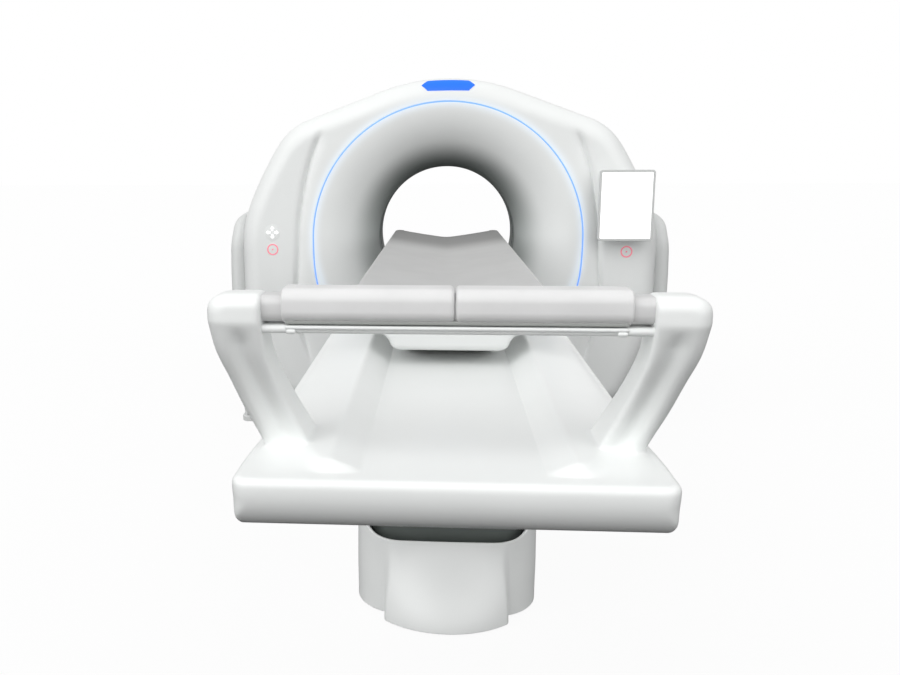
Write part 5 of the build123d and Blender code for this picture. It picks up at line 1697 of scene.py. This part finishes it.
    def deck(self) -> None:
        """Deck behind the seam: the cross-section of the foot end carried along Y.

        The section runs from the keel up the side, round the edge, over the rail and through the
        channel. Near the gantry the plan closes in a rounded corner and the top edge rounds off.
        """
        stations = np.concatenate(
            [
                np.linspace(self.plate_rear, self.deck_rear - 60.0, 90),
                self.deck_rear - 60.0 * (1 - np.sin(np.linspace(0.05, math.pi / 2, 16))),
            ]
        )
        turn = np.linspace(0.0, math.pi / 2, 8)
        r = self.edge_round
        keel = np.array([(-20.0, 0.0), (-2.0, 0.0), (0.0, 2.0)])
        side = keel + (self.deck_half, self.deck_bottom)
        edge = np.stack([self.deck_half - r + r * np.cos(turn), self.deck_z - r + r * np.sin(turn)], axis=1)
        wall = self.channel_half
        marks = (self.deck_half - r, self.ridge_foot_x - 30.0, self.ridge_x + 22.0, self.ridge_x - 24.0)
        marks = (*marks, wall + 4.0, wall - 3.0, 0.0)
        counts = (12, 22, 24, 10, 8, 14)
        parts = [np.linspace(a, b, n + 1)[1:] for a, b, n in zip(marks, marks[1:], counts)]
        top_x = np.sort(np.append(np.concatenate(parts), wall))[::-1]
        top = np.stack([top_x, np.full(len(top_x), self.deck_z)], axis=1)
        right = np.vstack([side, edge, top])
        section = np.vstack([right, right[:-1][::-1] * (-1.0, 1.0)])
        x = np.broadcast_to(section[:, 0][None], (len(stations), len(section))).copy()
        z = np.broadcast_to(section[:, 1][None], x.shape).copy()
        y = np.broadcast_to(stations[:, None], x.shape)
        on_top = np.abs(section[:, 0]) < self.deck_half - r + 0.1
        z = z + np.where(on_top[None] & (section[:, 1] > self.deck_z - 1)[None], self.rail(x, y), 0.0)
        past = np.maximum(y - (self.deck_rear - self.plate_corner), 0.0)
        narrow = self.plate_corner - np.sqrt(np.maximum(self.plate_corner**2 - past**2, 0.0))
        x = np.sign(x) * np.maximum(np.abs(x) - narrow * (np.abs(x) / self.deck_half) ** 4, 0.0)
        down = np.maximum(y - (self.deck_rear - 14.0), 0.0)
        drop = 14.0 - np.sqrt(np.maximum(14.0**2 - down**2, 0.0))
        z = np.where(z > self.deck_bottom + 30.0, z - drop, z)
        net = np.stack([x, y, z], axis=-1)
        piece = loft("deck_shell", net, Body.TABLE, sharp=40)
        mend_normals(piece)
        self.wardrobe.dress(piece, TABLE_SHELL_PAINTED_LIGHT, "shell_white", "deck_cover")

    def bar(self) -> None:
        """Bar between the elbows, its two grips, and the tube with its grooved rail below."""
        place = along_x(self.bar_y, 0.0)

        def beam(
            name: str, half: float, low: float, high: float, corner: float, ends: Sequence[float],
            edge: float, finish: Finish, slot: str, *nodes: str,
        ) -> None:
            """Rounded bar across the table, from its half depth, heights, corner and ends."""
            loop = rounded_loop(half, (high - low) / 2, corner, 8) + (0.0, (low + high) / 2)
            piece = pillow(name, loop, place, *ends, edge, edge, Body.TABLE)
            self.wardrobe.dress(piece, finish, slot, *nodes)

        reach, rail = self.elbow_inner + 6.0, self.rail_half
        full, short = (-reach, reach), (-rail, rail)
        low, high = self.bar_low, self.bar_high
        beam("bar", 34.0, low, high, 18.0, full, 1.0, BAR, "bar_grey", "handle_bar")
        low, high = self.tube_low, self.tube_high
        beam("rail_tube", 35.0, low, high, 7.5, full, 1.0, SHELL, "shell_white", "bar_rail")
        # upper flange of the rail: grey as painted shade under the grips
        beam("rail_top", 36.0, 1087.2, 1095.0, 2.5, short, 3.0, RAIL_TOP_PAINTED_SHADE, "bar_grey")
        beam("rail_lip", 39.0, 1077.5, 1084.8, 3.5, short, 4.0, SHELL, "shell_white")
        for side in Side:
            label = side.name.lower()
            low, high = box_mm(f"grip_{label}")
            middle = (low[2] + high[2]) / 2
            loop = rounded_loop((high[1] - low[1]) / 2, (high[2] - low[2]) / 2, 24.0, 16) + (0.0, middle)
            ends = (8.0, 5.0) if side is Side.RIGHT else (5.0, 8.0)
            piece = pillow(f"grip_pad_{label}", loop, place, low[0] + 0.2, high[0], *ends, Body.TABLE, 8)
            self.wardrobe.dress(piece, GRIP, "grip_grey", f"grip_{label}")
            ends = sorted((side.value * (rail - 20.0), side.value * (rail - 2.0)))
            name = f"rail_clip_{label}"
            beam(name, 40.0, 1069.0, 1079.0, 5.0, ends, 4.0, SHELL, "shell_white")

    def skirt(self) -> None:
        """Tapered pan under the deck, open on top and open in the middle for the column.

        Rounded rectangles shrink down the outside, close in to the column's opening, and grow
        again up the inside, one wall further in.
        """
        low, high = box_mm("table_skirt")
        middle = (low[1] + high[1]) / 2
        half_x, half_y = (high[0] - low[0]) / 2, (high[1] - low[1]) / 2
        depth = np.array([0.0, 2.0, 30.0, 60.0, 72.0, 77.0, 79.5, 80.0])
        inset = np.array([1.0, 0.0, 20.0, 43.0, 56.0, 66.0, 78.0, 92.0])
        wall = self.skirt_wall
        outer, inner = (
            np.stack([rounded_loop(half_x - i - w, half_y - i - w, 40.0 - w) for i in inset])
            + (0.0, middle)
            for w in (0.0, wall)
        )
        low_y, high_y = self.column_y
        mouth = rounded_loop(self.column_half, (high_y - low_y) / 2, 24.0) + (0.0, (low_y + high_y) / 2)
        loops = np.concatenate([outer, mouth[None], mouth[None], inner[::-1]])
        floor = np.array([depth[-1], depth[-1] - wall])
        depth = np.concatenate([depth, floor, np.minimum(depth, depth[-1] - wall)[::-1]])
        z = np.broadcast_to((high[2] - depth)[:, None], loops.shape[:2])
        net = np.concatenate([loops, z[..., None]], axis=-1)
        piece = closed_skin("skirt_pan", net, Body.TABLE, 35.0)
        self.wardrobe.dress(piece, SHELL, "shell_white", "table_skirt")

    def build(self) -> None:
        """Builds every piece of the table that doesn't slide."""
        self.foot_end()
        self.deck()
        self.bar()
        self.skirt()


@dataclass
class Cradle:
    """Cradle with its shallow V and the trolley under it."""

    wardrobe: Wardrobe
    half: float = 270.0
    edge_z: float = 1030.0
    notch_z: float = 992.0
    notch_soft: float = 26.0
    rim: float = 26.0
    flat_half: float = 150.0
    flat_z: float = 945.0
    foot: float = -1000.0
    tip: float = 1275.0
    corner: float = 40.0
    trolley_front: float = -978.0
    lip_z: float = 854.0
    keel_front: float = -760.0
    keel_z: float = 812.0

    def shell(self) -> None:
        """Laminate shell: V on top with soft notch and rims, flat below, corners round in plan."""
        edge = np.linspace(0.1, math.pi / 2, 8)
        x = np.concatenate([np.linspace(0.0, 246.0, 40), self.half - 22.0 * (1 - np.sin(edge))])
        rise = self.edge_z - self.notch_z
        soft = self.notch_soft
        top = self.notch_z + rise * (np.hypot(x, soft) - soft) / (np.hypot(self.half, soft) - soft)
        past = np.maximum(x - (self.half - 10.0), 0.0)
        top = top - (10.0 - np.sqrt(np.maximum(100.0 - past**2, 0.0)))
        under_x = np.linspace(self.half, 0.0, 44)
        run = np.clip((under_x - self.flat_half) / (self.half - self.flat_half), 0.0, 1.0)
        bow = (0.72 * run + 0.28 * run**2) * ease(run * 5.0)
        under = self.flat_z + (self.edge_z - self.rim - self.flat_z) * bow
        right = np.vstack([np.stack([x, top], axis=1), np.stack([under_x, under], axis=1)[:-1]])
        section = np.vstack([right, [(0.0, self.flat_z)], right[1:][::-1] * (-1.0, 1.0)])
        turn = np.linspace(0.0, math.pi / 2, 12)
        stations = np.concatenate(
            [
                self.foot + self.corner * (1 - np.cos(turn)),
                self.tip - self.corner * (1 - np.cos(turn[::-1])),
            ]
        )
        stations = np.insert(stations, 12, np.linspace(self.foot + 60, self.tip - 60, 30))
        gap = np.minimum(stations - self.foot, self.tip - stations)
        past = np.maximum(self.corner - gap, 0.0)
        narrow = self.corner - np.sqrt(np.maximum(self.corner**2 - past**2, 0.0))
        past = np.maximum(9.0 - gap, 0.0)
        thin = 9.0 - np.sqrt(np.maximum(81.0 - past**2, 0.0))
        ax = np.abs(section[:, 0])
        side = np.maximum(ax[None] - narrow[:, None] * (ax[None] / self.half) ** 3, 0.0)
        side = side * np.sign(section[:, 0])[None]
        upper = np.zeros(len(section), bool)
        upper[: len(x)] = True
        upper[-len(x) + 1 :] = True
        thin = thin[:, None] * np.clip((self.half - ax) / 24.0, 0.0, 1.0)[None]
        z = section[:, 1][None] + np.where(upper[None], -thin, thin)
        y = np.broadcast_to(stations[:, None], side.shape)
        net = np.stack([side, y, z], axis=-1)
        piece = loft("cradle_shell", net, Body.CRADLE, sharp=45)
        mend_normals(piece)
        self.wardrobe.dress(piece, CRADLE, "cradle_grey", "cradle")

    def trolley(self) -> None:
        """Trolley: a keel that flares in an S to the cradle's width, undercut at the foot end."""

        def field(x: Array, y: Array, z: Array) -> Array:
            """Field of the trolley, negative inside."""
            heights = (812.0, 845.0, 864.0, 886.0, 896.0, 904.0, 916.0, 935.0, 1012.0)
            half = through(z, heights, (150.0, 156.0, 165.0, 176.0, 188.0, 212.0, 242.0, 262.0, 263.0))
            side = (np.abs(x) - half) * 0.6
            slope = (self.lip_z - self.keel_z) / (self.keel_front - self.trolley_front)
            under = np.clip(self.lip_z - (y - self.trolley_front) * slope, self.keel_z, self.lip_z)
            shape = meet(side, self.trolley_front - y, 10.0)
            shape = meet(shape, under - z, 15.0)
            shape = meet(shape, y + 325.0, 10.0)
            return meet(shape, z - 984.0, 3.0)

        low, high = (-275.0, -985.0, 800.0), (275.0, -315.0, 995.0)
        piece = field_shell("trolley_shell", field, low, high, 6.0, Body.CRADLE)
        piece.data.set_sharp_from_angle(angle=math.radians(55))
        self.wardrobe.dress(piece, STAND_SHELL_PAINTED_SHADE, "shell_white", "cradle_trolley")

    def build(self) -> None:
        """Builds the sliding pieces."""
        self.shell()
        self.trolley()


SOLID_FINISHES: dict[Finish, tuple[str, ...]] = {
    STATUS: ("status_light",),
    WINDOW: ("scan_window",),
    DUCT: ("floor_duct", "rear_grille_right", "rear_grille_left", "tablet_bracket"),
    FRAME: (
        "gantry_frame", "stand_frame_right", "stand_frame_left", "pedestal_base", "rotor_drum",
    ),
    STAND_SHELL_PAINTED_SHADE: ("gantry_base",),
    # column and table frame dark as painted shade under the table
    COLUMN_PAINTED_SHADE: ("table_frame", "column_middle"),
    STEEL: ("outer_race", "inner_race", "lift_screw", "roller_front", "roller_rear", "drive_pulley"),
    ALUMINIUM: (
        "xray_tube", "detector_arc", "high_voltage_tank", "heat_exchanger", "power_unit",
        "data_box", "drive_motor", "lift_motor", "tilt_gearmotor", "front_support",
    ),
    COPPER: ("slip_ring",),
    BLACK: ("brush_block",),
    BELT: ("drive_belt",),
}


@dataclass
class Studio:
    """Camera, floor, sky and lamps."""

    image_width: float = 900.0
    sensor_mm: float = 36.0
    focal_px: float = 870.77
    principal_x: float = 378.8
    eye_m: tuple[float, float, float] = (-0.0252, -3.3919, 1.3691)
    yaw: float = -0.0722
    pitch: float = 0.1958
    roll: float = -0.0042
    sky: float = 0.62
    left: float = 1.62
    right: float = 0.92
    lamp_angle: float = 60.0
    floor_glow: float = 0.92

    def camera(self) -> None:
        """Camera at the picture's place; its axes come from yaw, pitch and roll."""
        data = bpy.data.cameras.new("camera")
        data.sensor_width = self.sensor_mm
        data.lens = self.focal_px / self.image_width * self.sensor_mm
        data.shift_x = (self.image_width / 2 - self.principal_x) / self.image_width
        cy, sy = math.cos(self.yaw), math.sin(self.yaw)
        cp, sp = math.cos(self.pitch), math.sin(self.pitch)
        ahead = np.array([sy * cp, cy * cp, -sp])
        right = np.array([cy, -sy, 0.0])
        up = np.cross(right, ahead)
        cr, sr = math.cos(self.roll), math.sin(self.roll)
        axes = np.stack([cr * right + sr * up, -sr * right + cr * up, -ahead], axis=1)
        place = np.eye(4)
        place[:3, :3] = axes
        place[:3, 3] = self.eye_m
        camera = bpy.data.objects.new("camera", data)
        camera.matrix_world = Matrix(place.tolist())
        bpy.context.scene.collection.objects.link(camera)
        bpy.context.scene.camera = camera

    def floor(self) -> None:
        """Wide pale floor: bright to the camera, darker to the light it sends back up."""
        mesh = bpy.data.meshes.new("floor")
        reach = 60.0
        corners = [(-reach, -reach, 0.0), (reach, -reach, 0.0), (reach, reach, 0.0), (-reach, reach, 0.0)]
        mesh.from_pydata(corners, [], [(0, 1, 2, 3)])
        floor = bpy.data.objects.new("floor", mesh)
        bpy.context.scene.collection.objects.link(floor)
        material = bpy.data.materials.new("pale_floor")
        material.use_nodes = True
        tree = material.node_tree
        tree.nodes.clear()
        path = add_node(tree, "ShaderNodeLightPath")
        seen = add_node(
            tree, "ShaderNodeMath", operation="MAXIMUM",
            in_0=path.outputs["Is Camera Ray"], in_1=path.outputs["Is Transmission Ray"],
        )
        bright = add_node(tree, "ShaderNodeBsdfDiffuse", in_Color=linear("#F2F2F2"))
        white = add_node(tree, "ShaderNodeEmission", in_Color=(1, 1, 1, 1), in_Strength=1.0)
        pale = add_node(
            tree, "ShaderNodeMixShader",
            in_0=self.floor_glow, in_1=bright.outputs[0], in_2=white.outputs[0],
        )
        dull = add_node(tree, "ShaderNodeBsdfDiffuse", in_Color=linear("#424242"))
        mix = add_node(
            tree, "ShaderNodeMixShader",
            in_0=seen.outputs[0], in_1=dull.outputs[0], in_2=pale.outputs[0],
        )
        add_node(tree, "ShaderNodeOutputMaterial", in_Surface=mix.outputs[0])
        mesh.materials.append(material)
        floor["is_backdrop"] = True

    def light(self) -> None:
        """Even sky and two large soft lamps in front, the left one a little stronger."""
        world = bpy.data.worlds.new("studio")
        bpy.context.scene.world = world
        world.use_nodes = True
        tree = world.node_tree
        tree.nodes.clear()
        path = add_node(tree, "ShaderNodeLightPath")
        plain = add_node(tree, "ShaderNodeBackground", in_Color=(1, 1, 1, 1), in_Strength=self.sky)
        white = add_node(tree, "ShaderNodeBackground", in_Color=(1, 1, 1, 1), in_Strength=1.0)
        mix = add_node(
            tree, "ShaderNodeMixShader",
            in_0=path.outputs["Is Camera Ray"], in_1=plain.outputs[0], in_2=white.outputs[0],
        )
        add_node(tree, "ShaderNodeOutputWorld", in_Surface=mix.outputs[0])
        for name, strength, toward in (
            ("left_lamp", self.left, (0.58, 0.64, -0.5)),
            ("right_lamp", self.right, (-0.6, 0.68, -0.42)),
        ):
            lamp = bpy.data.lights.new(name, "SUN")
            lamp.energy = strength
            lamp.angle = math.radians(self.lamp_angle)
            holder = bpy.data.objects.new(name, lamp)
            back = -np.array(toward) / np.linalg.norm(toward)
            side = np.cross((0.0, 0.0, 1.0), back)
            side /= np.linalg.norm(side)
            place = np.eye(4)
            place[:3, :3] = np.stack([side, np.cross(back, side), back], axis=1)
            place[:3, 3] = (0.0, 0.0, 4.0)
            holder.matrix_world = Matrix(place.tolist())
            bpy.context.scene.collection.objects.link(holder)

    def build(self) -> None:
        """Sets up the whole studio."""
        self.camera()
        self.floor()
        self.light()
        bpy.context.scene.view_settings.view_transform = "Standard"


def box_numbers() -> list[list[float]]:
    """Lowest and highest corner of the shown object, as plain numbers."""
    return [list(map(float, corner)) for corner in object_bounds()]


def main() -> None:
    """Builds the studio and every piece in order."""
    logging.basicConfig(level=logging.INFO, format="%(name)s %(message)s")
    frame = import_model()
    Studio().build()
    wardrobe = Wardrobe()
    for finish, names in SOLID_FINISHES.items():
        for name in names:
            wardrobe.dress_solid(frame["nodes"][name], finish)
    Gantry(wardrobe).build()
    Tablet(wardrobe).build()
    for side in Side:
        Stand(wardrobe, side).build()
    Pedestal(wardrobe).build()
    Table(wardrobe).build()
    Cradle(wardrobe).build()
    LOG.info("visual box %s", box_numbers())


if __name__ == "__main__":
    main()
